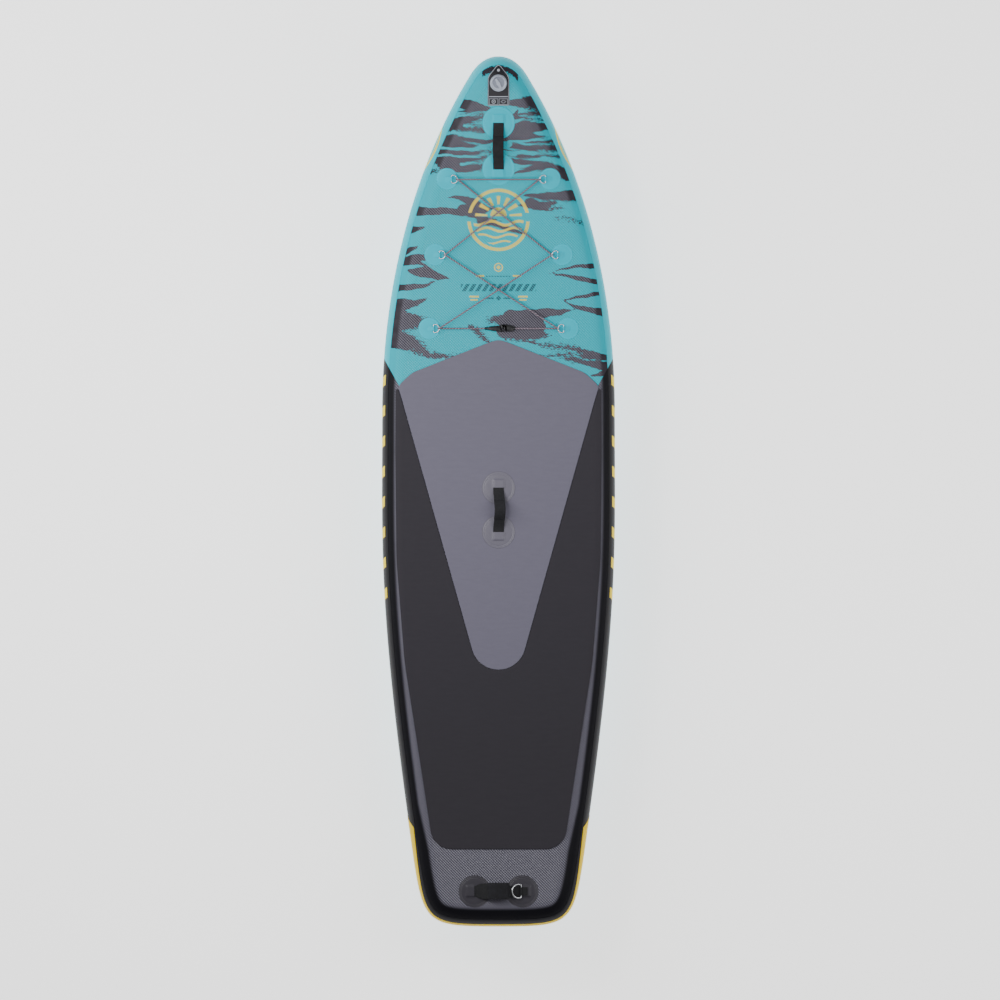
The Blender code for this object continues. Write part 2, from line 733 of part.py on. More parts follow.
def bungee():
    """One elastic cord laced through the six rings, and its plastic hook and eye."""
    tips = {}
    frames = {}
    for place in CARGO:
        for side in (-1, 1):
            tips[place, side], frames[place, side] = cargo_anchor(place, side)
    reach = D_WIRE + CORD_R + 0.0004
    order = [("rear", -1), ("mid", 1), ("front", -1), ("front", 1), ("mid", -1), ("rear", 1)]
    # Each run leaves a ring above or below its wire: -1 arrives or leaves below, 1 above.
    levels = [(-1, 1), (1, -1), (-1, 1), (1, -1), (-1, 1), (1, -1)]
    hook = deck_frame(0, CARGO["rear"][0], DECK_GAP)
    hook_h = 0.0065
    start = hook @ Vector((-0.0425, 0, hook_h))
    end = hook @ Vector((0.0565, 0, hook_h))
    path = [start]
    for n, (key, (first, last)) in enumerate(zip(order, levels)):
        up = frames[key].col[2].xyz
        out = frames[key].col[0].xyz
        before = start if n == 0 else tips[order[n - 1]]
        after = end if n == len(order) - 1 else tips[order[n + 1]]
        tip = tips[key]
        toward_a = (before - tip).normalized()
        toward_b = (after - tip).normalized()
        if n and order[n - 1][0] != key[0]:
            middle = (tips[order[n - 1]] + tip) / 2
            lift = levels[n - 1][1] * reach
            sign = 1 if order[n - 1][1] > 0 else -1
            path.append(middle + up * (lift + sign * 0.0036))
        path.append(tip + up * first * reach + toward_a * 0.012)
        path.append(tip + up * first * reach)
        path.append(tip + up * first * reach * 0.71 + out * reach * 0.71)
        path.append(tip + out * reach)
        path.append(tip + up * last * reach * 0.71 + out * reach * 0.71)
        path.append(tip + up * last * reach)
        path.append(tip + up * last * reach + toward_b * 0.012)
    path.append(end)
    wire("bungee_cord", path, CORD_R, "cord_grey", resolution=1)
    bungee_hook(hook)


def bungee_hook(frame):
    """Left, a flat hook whose jaw is open to the nose. Right, an eye block whose post sits in it."""
    hook = [(-0.0415, -0.0035), (-0.0300, -0.0080), (0.0020, -0.0110), (0.0140, -0.0130)]
    hook += [(0.0230, -0.0090), (0.0262, 0.0000), (0.0240, 0.0070), (0.0200, 0.0090)]
    hook += [(0.0180, 0.0060), (0.0205, 0.0000), (0.0180, -0.0050), (0.0130, -0.0066)]
    hook += [(0.0075, -0.0040), (0.0055, 0.0020), (0.0050, 0.0100), (-0.0300, 0.0080)]
    hook += [(-0.0415, 0.0035)]
    prism("bungee_hook", hook, frame, 0.0010, 0.0115, "hook_plastic")
    lock = [(0.0290, -0.0120), (0.0555, -0.0100), (0.0555, 0.0100), (0.0290, 0.0150)]
    lock += [(0.0080, 0.0145), (0.0085, 0.0010), (0.0115, -0.0020), (0.0150, -0.0010)]
    lock += [(0.0168, 0.0030), (0.0160, 0.0100), (0.0260, 0.0106), (0.0290, 0.0070)]
    prism("bungee_eye", lock, frame, 0.0016, 0.0109, "hook_plastic")


def leash_ring():
    """Steel D-ring on the tail handle's right-hand end."""
    s = 3.069
    top = DECK_GAP + PATCH
    frame = deck_frame(0.0838, s, top + GAP + STRAP + GAP + 0.0052)
    hinge = joint_frame("leash_ring_swing", frame)
    webbing_loop("leash_ring_loop", frame, 0.0028, 0.0150, -0.0022, "webbing_black")
    tilted = frame @ Matrix.Rotation(math.radians(24), 4, "Y")
    path = d_path(tilted, 0.0250, math.radians(62), 23)
    wire("leash_d_ring", path, 0.0024, "ring_steel", True, hinge, 1)


def fins():
    bed = deck_frame(0, FIN_S, 0.0, 0.0, side=-1)
    # Local X is across, Y runs forward, Z points down out of the hull.
    profile = [(-0.030, 0.0004), (-0.030, 0.0022), (-0.013, 0.0030), (-0.013, 0.0160)]
    profile += [(-0.0045, 0.0160), (-0.0045, 0.0120), (-0.0080, 0.0120), (-0.0080, 0.0040)]
    profile += [(-x, z) for x, z in profile[::-1]]
    loops = [[bed @ Vector((x, y, z)) for x, z in profile] for y in (-0.125, 0.125)]
    loft("fin_box", loops, "fin_black")

    slide = joint_frame("centre_fin_slide", bed)
    tongue = [(-0.0077, 0.0043), (-0.0077, 0.0117), (-0.0041, 0.0117), (-0.0041, 0.0163)]
    tongue += [(-0.0120, 0.0163), (-0.0120, 0.0195)]
    tongue += [(-x, z) for x, z in tongue[::-1]]
    bm_loops = [[bed @ Vector((x, y, z)) for x, z in tongue] for y in (-0.085, 0.115)]
    base = loft("centre_fin_base", bm_loops, "fin_black", slide)
    blade = blade_loops(bed, 0.0192, 0.200, 0.190, 0.052, 0.105, 0.0085, 0.015)
    fin = loft("centre_fin", blade, "fin_black", slide)
    weld_union(fin, base)

    pivot = joint_frame("fin_clip_press", bed @ Matrix.Translation((0, -0.089, 0.0080)))
    clip = [(-0.0865, 0.0050), (-0.0865, 0.0110), (-0.0960, 0.0130), (-0.1120, 0.0205)]
    clip += [(-0.1180, 0.0205), (-0.1180, 0.0170), (-0.1040, 0.0090), (-0.0990, 0.0050)]
    clip_loops = [[bed @ Vector((x, y, z)) for y, z in clip] for x in (-0.0038, 0.0038)]
    loft("fin_clip", clip_loops, "clip_grey", pivot)

    for name, sign in (("side_fin_left", -1), ("side_fin_right", 1)):
        bed = deck_frame(sign * 0.165, 2.700, 0.0, 0.0, side=-1)
        loops = []
        for z, grow in ((0.0004, 1.0), (0.0022, 0.96)):
            loops.append(
                [
                    bed @ Vector((0.021 * grow * math.sin(a), 0.080 * grow * math.cos(a), z))
                    for a in (2 * math.pi * k / 12 for k in range(12))
                ]
            )
        loops += blade_loops(bed, 0.0040, 0.120, 0.095, 0.030, 0.055, 0.0060, 0.0)
        loft(name, loops, "fin_black")


def blade_loops(bed, top, chord, depth, tip, rake, thick, forward):
    """Foil sections of a raked blade, from its root down."""
    loops = []
    for f in (0.0, 0.08, 0.25, 0.45, 0.65, 0.82, 0.94, 1.0):
        c = chord + (tip - chord) * (1 - math.sqrt(1 - f * f * 0.96)) * 0.75 + (tip - chord) * f * 0.25
        lead = forward + chord / 2 - rake * f**1.6 - (chord - c) * 0.25
        t = thick * (1 - 0.62 * f)
        z = top + depth * f
        loop = []
        for k in range(12):
            a = 2 * math.pi * k / 12
            along = lead - c * (1 - math.cos(a)) / 2
            loop.append(bed @ Vector((t / 2 * math.sin(a), along, z)))
        loops.append(loop)
    return loops


def weld_union(keep, other):
    """Joins two overlapping solids of one moulded piece."""
    boolean = keep.modifiers.new("join", "BOOLEAN")
    boolean.operation = "UNION"
    boolean.solver = "EXACT"
    boolean.object = other
    bpy.context.view_layer.update()
    graph = bpy.context.evaluated_depsgraph_get()
    joined = bpy.data.meshes.new_from_object(keep.evaluated_get(graph))
    keep.modifiers.clear()
    keep.data = joined
    bpy.data.objects.remove(other)


def main():
    global collection
    clear()
    collection = bpy.data.collections.new("stand_up_paddleboard")
    bpy.context.scene.collection.children.link(collection)
    material("rail_pvc", (0.00, 0.42, 0.50), 0.45)
    material("deck_pvc", (0.00, 0.42, 0.50), 0.50)
    material("rear_pvc", (0.028, 0.026, 0.034), 0.50)
    material("hull_pvc", (0.00, 0.42, 0.50), 0.45)
    material("core_cloth", (0.70, 0.70, 0.68), 0.90)
    material("band_yellow", (0.73, 0.47, 0.02), 0.45)
    material("pad_grey", (0.19, 0.185, 0.24), 0.90)
    material("pad_dark", (0.036, 0.033, 0.042), 0.90)
    material("patch_teal", (0.00, 0.56, 0.69), 0.45)
    material("patch_grey", (0.10, 0.10, 0.12), 0.50)
    material("webbing_black", (0.010, 0.010, 0.013), 0.85)
    material("neoprene_black", (0.012, 0.012, 0.015), 0.90)
    material("ring_steel", (0.62, 0.63, 0.66), 0.25, 1.0)
    material("cord_grey", (0.16, 0.10, 0.14), 0.85)
    material("hook_plastic", (0.012, 0.012, 0.014), 0.45)
    material("valve_grey", (0.30, 0.34, 0.38), 0.45)
    material("valve_silver", (0.46, 0.50, 0.56), 0.35)
    material("valve_pin_plastic", (0.60, 0.60, 0.60), 0.40)
    material("label_black", (0.014, 0.014, 0.018), 0.50)
    material("fin_black", (0.012, 0.012, 0.014), 0.35)
    material("clip_grey", (0.20, 0.20, 0.22), 0.45)
    core()
    skins()
    rails()
    tail_band()
    kite_pad()
    main_pad()
    label()
    valve()
    on_pad = PAD_GAP + PAD + GAP
    strap_handle(
        "front_handle", ((0, 0.2415), (0, 0.4100)), DECK_GAP, 0.030,
        ("patch_teal", "patch_teal"), 0.0600, 0,
    )
    strap_handle(
        "centre_handle", ((0, 1.5830), (0, 1.7450)), on_pad, 0.034,
        ("patch_grey", "patch_grey"), 0.0610, 0,
    )
    strap_handle(
        "tail_handle", ((-0.0880, 3.0690), (0.0880, 3.0690)), DECK_GAP, 0.030,
        ("patch_grey", "patch_grey"), 0.0590, math.pi / 2, 0.0285,
    )
    bungee()
    leash_ring()
    fins()


main()
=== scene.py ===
"""Looks of the inflatable stand up paddleboard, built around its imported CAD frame."""

import math
from functools import reduce

import bmesh
import bpy
import numpy as np
from mathutils import Matrix, Vector


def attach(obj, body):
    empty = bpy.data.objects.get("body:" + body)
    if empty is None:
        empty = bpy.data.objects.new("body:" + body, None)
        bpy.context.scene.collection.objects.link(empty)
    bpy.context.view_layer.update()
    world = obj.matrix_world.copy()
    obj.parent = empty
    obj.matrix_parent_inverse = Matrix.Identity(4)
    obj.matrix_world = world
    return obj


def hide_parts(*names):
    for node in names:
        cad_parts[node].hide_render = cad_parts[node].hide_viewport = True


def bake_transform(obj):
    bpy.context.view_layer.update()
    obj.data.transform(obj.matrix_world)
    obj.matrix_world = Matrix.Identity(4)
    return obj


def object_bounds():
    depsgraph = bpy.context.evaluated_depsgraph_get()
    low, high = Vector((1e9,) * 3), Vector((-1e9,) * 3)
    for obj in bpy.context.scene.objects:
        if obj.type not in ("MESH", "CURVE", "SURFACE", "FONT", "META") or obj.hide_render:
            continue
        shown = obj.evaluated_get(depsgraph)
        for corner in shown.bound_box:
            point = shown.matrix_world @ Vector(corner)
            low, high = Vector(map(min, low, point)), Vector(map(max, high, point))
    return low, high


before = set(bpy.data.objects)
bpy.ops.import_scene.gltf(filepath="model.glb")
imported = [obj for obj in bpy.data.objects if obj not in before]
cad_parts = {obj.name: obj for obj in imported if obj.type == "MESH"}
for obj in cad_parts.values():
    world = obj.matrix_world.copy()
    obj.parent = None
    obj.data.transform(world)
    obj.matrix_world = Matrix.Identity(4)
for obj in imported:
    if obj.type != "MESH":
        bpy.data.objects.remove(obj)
CAD_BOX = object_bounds()

# ------------------------------------------------------------ hull form, as in the CAD

LENGTH = 3.2
RAIL_R = 0.076
NOSE_RAIL = 0.055
NOSE_RAIL_TO = 0.3
NOSE_ROCKER = 0.15
NOSE_POWER = 2.2
NOSE_ROCKER_FROM = 1.15
TAIL_ROCKER = 0.03
TAIL_ROCKER_FROM = 2.55
VALVE_S = 0.096
KITE = ((0.0, 1.036), (0.04, 1.0485), (0.318, 1.158), (0.37, 1.206), (0.101, 2.165))
KITE_RADII = (0, 0.03, 0.09, 0.028)
KITE_END = 0.088
PAD_BOTTOM = 2.914
BAND_FROM = 2.79
BLACK_FROM = 1.199


def bezier(a, b, c, d, t):
    a, b, c, d = (np.array(p, float) for p in (a, b, c, d))
    u = 1 - t
    point = u**3 * a + 3 * u * u * t * b + 3 * u * t * t * c + t**3 * d
    slope = 3 * (u * u * (b - a) + 2 * u * t * (c - b) + t * t * (d - c))
    return point, slope / np.hypot(*slope)


def half_outline(steps):
    """Rows (s, half width, inward normal in s and x) from the nose tip to the tail centre."""
    sh, wi, qu = np.array((0.068, 0.1045)), np.array((1.3, 0.429)), np.array((2.894, 0.3205))
    sd = np.array([math.cos(math.radians(32)), math.sin(math.radians(32))])
    qd = np.array([math.cos(math.radians(-8.15)), math.sin(math.radians(-8.15))])
    spans = (
        ((0, 0), (0, 0.06), sh - 0.024 * sd, sh),
        (sh, sh + 0.196 * sd, wi - (0.648, 0), wi),
        (wi, wi + (0.483, 0), qu - 0.89 * qd, qu),
        (qu, qu + 0.305 * qd, (LENGTH, 0.275), (LENGTH, 0)),
    )
    rows = []
    for span, count in zip(spans, steps):
        for k in range(count):
            point, slope = bezier(*span, k / count)
            rows.append((point[0], point[1], slope[1], -slope[0]))
    rows.append((LENGTH, 0.0, -1.0, 0.0))
    return np.array(rows)


FINE = half_outline((30, 120, 80, 60))[:, [1, 0]] * (1, -1) + (0, LENGTH / 2)


def rail_reach(s):
    f = np.clip(s / NOSE_RAIL_TO, 0, 1)
    return NOSE_RAIL + (RAIL_R - NOSE_RAIL) * f * f * (3 - 2 * f)


def rocker(y):
    """Height and slope of the hull's bend at y."""
    start = LENGTH / 2 - NOSE_ROCKER_FROM
    run = LENGTH / 2 - start
    u = np.clip((y - start) / run, 0, None)
    rise = NOSE_ROCKER * u**NOSE_POWER
    slope = NOSE_POWER * NOSE_ROCKER * u ** (NOSE_POWER - 1) / run
    start = LENGTH / 2 - TAIL_ROCKER_FROM
    run = LENGTH / 2 + start
    u = np.clip((start - y) / run, 0, None)
    return rise + TAIL_ROCKER * u * u, slope - 2 * TAIL_ROCKER * u / run


def bend(x, y, h):
    """Points at height h from the hull's mid plane, one row each."""
    rise, slope = rocker(y)
    angle = np.arctan(slope)
    return np.stack((x + 0 * y, y - h * np.sin(angle), RAIL_R + rise + h * np.cos(angle)), -1)


def inside(x, y):
    """Distance in from the outline, outward direction and the rail's reach there."""
    a, run = FINE[:-1], np.diff(FINE, axis=0)
    p = np.stack((np.abs(x), y), -1)[:, None]
    t = np.clip(((p - a) * run).sum(-1) / (run**2).sum(-1), 0, 1)
    off = a + t[..., None] * run - p
    away = np.hypot(off[..., 0], off[..., 1])
    best = away.argmin(1)
    pick = np.arange(len(best))
    near, gap = off[pick, best], away[pick, best]
    out = near / np.maximum(gap, 1e-9)[:, None]
    reach = rail_reach(LENGTH / 2 - (p[:, 0, 1] + near[:, 1]))
    return gap, out[:, 0] * np.where(x >= 0, 1, -1), out[:, 1], reach


def deck(x, s, h=0.0, side=1):
    """Points h above the deck (side 1) or below the bottom (side -1), s from the nose in plan."""
    x, s, h = np.broadcast_arrays(np.asarray(x, float), np.asarray(s, float), np.asarray(h, float))
    shape = x.shape
    x, s, h = x.ravel(), s.ravel(), h.ravel()
    wanted = LENGTH / 2 - s
    y = wanted
    for _ in range(8):
        y = wanted + side * RAIL_R * np.sin(np.arctan(rocker(y)[1]))
    away, out_x, out_y, reach = inside(x, y)
    f = np.clip(1 - away / reach, 0, 0.98)
    up = np.sqrt(1 - f * f)
    scale = h / np.hypot(f / reach, up / RAIL_R)
    n_out, n_up = f / reach * scale, up / RAIL_R * scale
    made = bend(x + n_out * out_x, y + n_out * out_y, side * (RAIL_R * up + n_up))
    return made.reshape(*shape, 3)


def deck_frame(x, s, h=0.0, side=1):
    """Matrix at a deck point: local Z out of the hull, local Y towards the nose."""
    origin, above, fore, aft = (
        Vector(deck(*p, side))
        for p in ((x, s, h), (x, s, h + 0.01), (x, s - 0.005, h), (x, s + 0.005, h))
    )
    z = (above - origin).normalized()
    y = fore - aft
    y = (y - y.dot(z) * z).normalized()
    axes = Matrix((y.cross(z), y, z)).transposed().to_4x4()
    return Matrix.Translation(origin) @ axes


# ------------------------------------------------------------ shader helpers


class Wire:
    """A node's output, open to plain arithmetic."""

    def __init__(self, nodes, socket):
        self.nodes = nodes
        self.socket = socket

    def __add__(self, other):
        return self.nodes.math("ADD", self, other)

    def __sub__(self, other):
        return self.nodes.math("SUBTRACT", self, other)

    def __rsub__(self, other):
        return self.nodes.math("SUBTRACT", other, self)

    def __mul__(self, other):
        return self.nodes.math("MULTIPLY", self, other)

    def __abs__(self):
        return self.nodes.math("ABSOLUTE", self)


class Nodes:
    """Short names for building a node tree."""

    def __init__(self, tree):
        self.tree = tree

    def put(self, socket, value):
        if isinstance(value, Wire):
            self.tree.links.new(value.socket, socket)
        else:
            socket.default_value = value

    def new(self, kind, inputs=(), output=0, **settings):
        """One output of a new node whose inputs are given by name or number."""
        node = self.tree.nodes.new(kind)
        for key, value in settings.items():
            setattr(node, key, value)
        for key, value in dict(inputs).items():
            self.put(node.inputs[key], value)
        return Wire(self, node.outputs[output])

    def math(self, operation, *values):
        return self.new("ShaderNodeMath", dict(enumerate(values)), operation=operation)

    def highest(self, *values):
        return reduce(lambda a, b: self.math("MAXIMUM", a, b), values)

    def lowest(self, *values):
        return reduce(lambda a, b: self.math("MINIMUM", a, b), values)

    def repeat(self, value, pitch):
        """How far the value is from the middle of its repeat, 0 to 0.5."""
        return abs(self.math("FRACT", value * (1 / pitch)) - 0.5)

    def step(self, value, soft):
        """1 where value is above 0, with a soft edge that wide."""
        span = {"Value": value, "From Min": -soft, "From Max": soft}
        return self.new("ShaderNodeMapRange", span, "Result", interpolation_type="SMOOTHSTEP")

    def fit(self, value, a, b, c=0.0, d=1.0):
        span = {"Value": value, "From Min": a, "From Max": b, "To Min": c, "To Max": d}
        return self.new("ShaderNodeMapRange", span, "Result")

    def split(self, vector):
        node = self.tree.nodes.new("ShaderNodeSeparateXYZ")
        self.put(node.inputs[0], vector)
        return [Wire(self, socket) for socket in node.outputs]

    def place(self):
        """X, Y and Z of the point in the row frame, and the vector itself."""
        vector = self.new("ShaderNodeTexCoord", output="Object")
        return (*self.split(vector), vector)

    def attribute(self, name, output="Fac"):
        return self.new("ShaderNodeAttribute", output=output, attribute_name=name)

    def vector(self, *values):
        return self.new("ShaderNodeCombineXYZ", dict(enumerate(values)))

    def noise(self, vector, scale, detail=2.0, roughness=0.5):
        grain = {"Vector": vector, "Scale": scale, "Detail": detail, "Roughness": roughness}
        return self.new("ShaderNodeTexNoise", grain, "Fac")

    def mix(self, factor, a, b):
        a, b = ((*c, 1) if isinstance(c, tuple) else c for c in (a, b))
        return self.new("ShaderNodeMix", {"Factor": factor, 6: a, 7: b}, 2, data_type="RGBA")

    def bump(self, height, distance, strength):
        relief = {"Strength": strength, "Distance": distance, "Height": height}
        return self.new("ShaderNodeBump", relief, "Normal")


def srgb(r, g, b):
    """Linear colour from eight-bit display values."""
    return tuple(
        (v / 255 / 12.92) if v <= 10 else ((v / 255 + 0.055) / 1.055) ** 2.4 for v in (r, g, b)
    )


def shade(colour, gain, lift=0.0):
    """A colour made lighter or darker."""
    return tuple(min(1.0, gain * c + lift) for c in colour)


def material(name, colour=(0.5, 0.5, 0.5), roughness=0.5, metallic=0.0, build=None, **extra):
    """A Principled material. build(nodes) may return colour, roughness and normal sockets."""
    made = bpy.data.materials.new(name)
    made.use_nodes = True
    shader = made.node_tree.nodes["Principled BSDF"]
    shader.inputs["Base Color"].default_value = (*colour, 1)
    shader.inputs["Roughness"].default_value = roughness
    shader.inputs["Metallic"].default_value = metallic
    for key, value in extra.items():
        shader.inputs[key.replace("_", " ")].default_value = value
    if build:
        n = Nodes(made.node_tree)
        for key, socket in build(n).items():
            n.put(shader.inputs[key], socket)
    return made


TEAL = (0.0, 0.44, 0.545)
# The rail band's own lighter teal, raised further as a painted highlight along the band.
BAND_TEAL_AND_HIGHLIGHT = (0.0, 0.52, 0.64)
PATCH_TEAL = (0.0, 0.53, 0.67)
PRINT_DARK = (0.026, 0.022, 0.031)
BLACK_PVC = (0.006, 0.0056, 0.0085)
YELLOW = (1.0, 0.74, 0.0)
BAND_YELLOW = (0.9, 0.62, 0.0)
SEAM_LEAN = 1.78
DIAMOND = 0.0072 / 0.70711

# ------------------------------------------------------------ printed camouflage on the deck

# Brush strokes in millimetres: start x, start s, end x, end s, half width at the start, bow to
# one side. Each tapers to its end and runs on past its start, where the rail band covers it.
STROKES = (
    (-150, 176, -16, 190, 26, 4),
    (-178, 250, -16, 214, 28, -6),
    (-150, 246, -20, 268, 26, 4),
    (-205, 294, 50, 306, 12.5, 6),
    (-215, 322, 80, 318, 15, -4),
    (-225, 350, 90, 340, 10.5, 3),
    (-232, 378, 20, 364, 17, 6),
    (-190, 394, 20, 408, 23, 4),
    (-238, 420, -196, 410, 6, 3),
    (-290, 562, 20, 606, 15.5, -12),
    (-60, 598, 120, 650, 12.5, 4),
    (-60, 552, -195, 512, 19, 8),
    (-120, 560, -10, 548, 20, 4),
    (-310, 628, -262, 616, 11, 3),
    (-325, 703, -296, 690, 9, 3),
    (-345, 748, -215, 738, 18, -6),
    (-300, 776, -180, 816, 26, -4),
    (-350, 846, -215, 812, 11, 6),
    (-360, 905, -262, 882, 20, 5),
    (-375, 958, -232, 972, 42, 6),
    (-380, 1030, -255, 1076, 40, 4),
    (-330, 1066, -85, 1112, 15, 8),
    (170, 180, 6, 166, 30, 5),
    (185, 208, 20, 226, 23, -4),
    (200, 246, 30, 300, 33, -6),
    (50, 276, 160, 222, 26, 3),
    (235, 312, -20, 304, 12, 4),
    (240, 340, -40, 328, 15, 5),
    (250, 366, -30, 360, 12.5, 4),
    (255, 424, 0, 388, 26, 8),
    (200, 402, 10, 372, 21, 4),
    (150, 410, 30, 430, 10, 4),
    (315, 516, 85, 510, 24, 6),
    (130, 536, 240, 556, 19, 3),
    (190, 540, 70, 548, 17, 3),
    (330, 606, 200, 592, 4.5, 4),
    (390, 764, 170, 790, 9, 6),
    (390, 820, 170, 786, 10.5, -6),
    (400, 866, 226, 896, 9.5, 8),
    (400, 940, 226, 890, 14, -7),
    (50, 950, 280, 922, 26, 6),
    (110, 985, -50, 968, 42, 10),
    (50, 1000, 200, 1018, 38, 4),
    (-105, 992, 5, 1060, 10, 6),
    (420, 1108, 30, 1036, 13, 8),
    (330, 1092, 120, 1090, 7, -8),
    (420, 1134, 170, 1092, 27, 5),
    (420, 1160, 330, 1176, 12, 3),
)

# Bare tongues that the ground colour cuts into the strokes: the same numbers.
TONGUES = (
    (-230, 222, -15, 203, 4.8, 5),
    (-240, 286, 30, 282, 6.2, -5),
    (-240, 336, -10, 330, 5, 4),
    (-260, 362, 10, 352, 4.2, 3),
    (30, 322, -110, 330, 11, 3),
    (60, 352, -60, 344, 9, -3),
    (240, 222, 30, 214, 5, -4),
    (240, 296, 20, 318, 6, 6),
    (260, 352, 60, 350, 5.5, -4),
    (270, 386, 90, 374, 12, 3),
    (-172, 190, -118, 196, 8.5, 0),
    (-190, 222, -30, 197, 2.6, 3),
    (-120, 256, -40, 238, 5, 3),
    (-60, 322, -150, 306, 3, 2),
    (-130, 388, -60, 380, 5.5, 2),
    (-345, 775, -262, 770, 8.5, -3),
    (-345, 820, -235, 826, 10, -3),
    (-200, 925, -300, 930, 20, 3),
    (160, 236, 40, 236, 3.5, 3),
    (230, 282, 118, 276, 17, 3),
    (40, 392, 120, 398, 10, 2),
    (250, 390, 150, 380, 10, 2),
    (320, 545, 186, 549, 14, 4),
    (250, 985, 160, 975, 20, 4),
    (420, 1120, 230, 1098, 3, 3),
    (360, 1150, 245, 1118, 10, 3),
)

# Where the paint ran dry: (x, s, radius, amount)
DRY = (
    (-0.27, 1.02, 0.085, 1.0),
    (-0.15, 1.09, 0.07, 0.9),
    (-0.32, 0.985, 0.05, 0.4),
    (-0.05, 0.985, 0.055, 0.9),
    (0.03, 1.05, 0.04, 0.8),
    (0.23, 1.06, 0.085, 0.9),
    (0.13, 0.2, 0.035, 0.8),
    (0.1, 0.17, 0.03, 0.5),
    (-0.075, 0.245, 0.04, 0.8),
    (-0.15, 0.262, 0.03, 0.5),
    (0.19, 0.33, 0.05, 0.6),
    (-0.05, 0.385, 0.05, 0.7),
    (0.25, 0.598, 0.08, 0.9),
    (0.18, 0.424, 0.07, 0.5),
    (-0.08, 0.56, 0.06, 0.4),
    (-0.225, 0.415, 0.04, 0.5),
    (0.0, 0.04, 0.06, 0.4),
)


def stroke_field(x, s, shapes):
    """How far inside the nearest stroke each point lies, in metres."""
    field = np.full(x.shape, -0.1)
    shapes = np.array(shapes) / 1000
    widths = np.interp(shapes[:, 1], LENGTH / 2 - FINE[:, 1], FINE[:, 0])
    for (x0, s0, x1, s1, half, bow), edge in zip(shapes, widths):
        length = math.hypot(x1 - x0, s1 - s0)
        run_x, run_s = (x1 - x0) / length, (s1 - s0) / length
        t = ((x - x0) * run_x + (s - s0) * run_s) / length
        along = np.clip(t, 0, 1)
        off = (s - s0) * run_x - (x - x0) * run_s - bow * 4 * along * (1 - along)
        wide = half * (1 - along**1.5) ** 0.9
        if abs(x0) < edge - 0.06:
            before = np.clip(-t * length / (1.6 * half), 0, None)
            round_end = wide * np.sqrt(np.clip(1 - before**2, 0, 1))
            wide = np.where(before < 1, round_end, -half * before)
        field = np.maximum(field, wide - np.abs(off) - np.maximum(t - 1, 0) * length)
    return field


def print_field(points):
    """The printed pattern's field and its dryness at mesh points."""
    x, s = points[:, 0].copy(), LENGTH / 2 - points[:, 1]
    drift = 0.0034 * np.sin(31 * x + 23 * s) + 0.0014 * np.sin(88 * x - 57 * s + 1.0)
    warp_s = s + drift + 0.0006 * np.sin(240 * x + 150 * s + 2.2)
    warp_x = x + 0.005 * np.sin(37 * s + 9 * x) + 0.002 * np.sin(120 * s - 40 * x)
    field = stroke_field(warp_x, warp_s, STROKES)
    field = np.minimum(field, -stroke_field(warp_x, warp_s, TONGUES))
    ring = 0.0105 - np.abs(np.hypot(x, s - 0.14) - 0.0975)
    field = np.maximum(field, np.minimum(ring, 0.066 - np.abs(x - 0.006)))
    dry = np.zeros(x.shape)
    for cx, cs, radius, amount in DRY:
        away = (x - cx) ** 2 + (s - cs) ** 2
        dry = np.maximum(dry, amount * np.exp(-away / radius**2))
    return field, dry


# ------------------------------------------------------------ materials


def base_print(n):
    """Ground colour with its strokes, where they lie, what is behind the seam, and the place."""
    x, y, z, place = n.place()
    grain = n.noise(n.vector(x * 0.38, y, z), 260, 3.0, 0.65)
    spread = n.attribute("stroke_dry") * 0.105 + 0.001
    push = (grain - 0.5) * spread + (n.noise(place, 120) - 0.5) * 0.003
    mask = n.step(n.attribute("stroke_field") + push, 0.0006)
    worn = shade(PRINT_DARK, 1.35, 0.004)
    dark = n.mix(n.fit(n.noise(place, 34), 0.35, 0.7), PRINT_DARK, worn)
    return n.mix(mask, TEAL, dark), mask, seam(n, x, y), (x, y, place)


def seam(n, x, y):
    """1 behind the diagonal join between the coloured and the black fabric."""
    edge = BLACK_FROM + SEAM_LEAN * 0.3705 - abs(x) * SEAM_LEAN
    return n.step(LENGTH / 2 - y - n.highest(edge, 1.05), 0.0005)


def emboss_with_painted_glints(n, x, y, colour, dark, rear, amount=1.0):
    """Colour with painted glints on its raised diamonds, and their height. dark and rear are 1 on black
    ground.
    """
    diagonals = (n.math("MULTIPLY_ADD", y, sign, x) for sign in (1, -1))
    one, two = (n.repeat(along, DIAMOND) * 2.0 for along in diagonals)
    height = n.fit(n.highest(one, two), 0.95, 0.45)
    # Painted highlight: the diamonds' ridges, one diagonal most, are lightened as if they caught the
    # lamps, more so on black ground.
    light = n.fit(one, 0.8, 0.35) * 0.55 + height * 0.45
    painted_glint = n.mix(dark, (0.06, 0.7, 0.82), (0.34, 0.33, 0.41))
    share = light * n.fit(rear, 0, 1, 0.42, 0.64) * amount
    return n.mix(share, colour, painted_glint), height * amount


def disc_field(n, x, s, cx, cs):
    """Distance from a centre, and its two parts."""
    dx, ds = x - cx, s - cs
    return n.math("SQRT", dx * dx + ds * ds), dx, ds


def box_field(n, x, s, cx, cs, half_x, half_s):
    """Positive inside an upright rectangle."""
    return n.lowest(half_x - abs(x - cx), half_s - abs(s - cs))


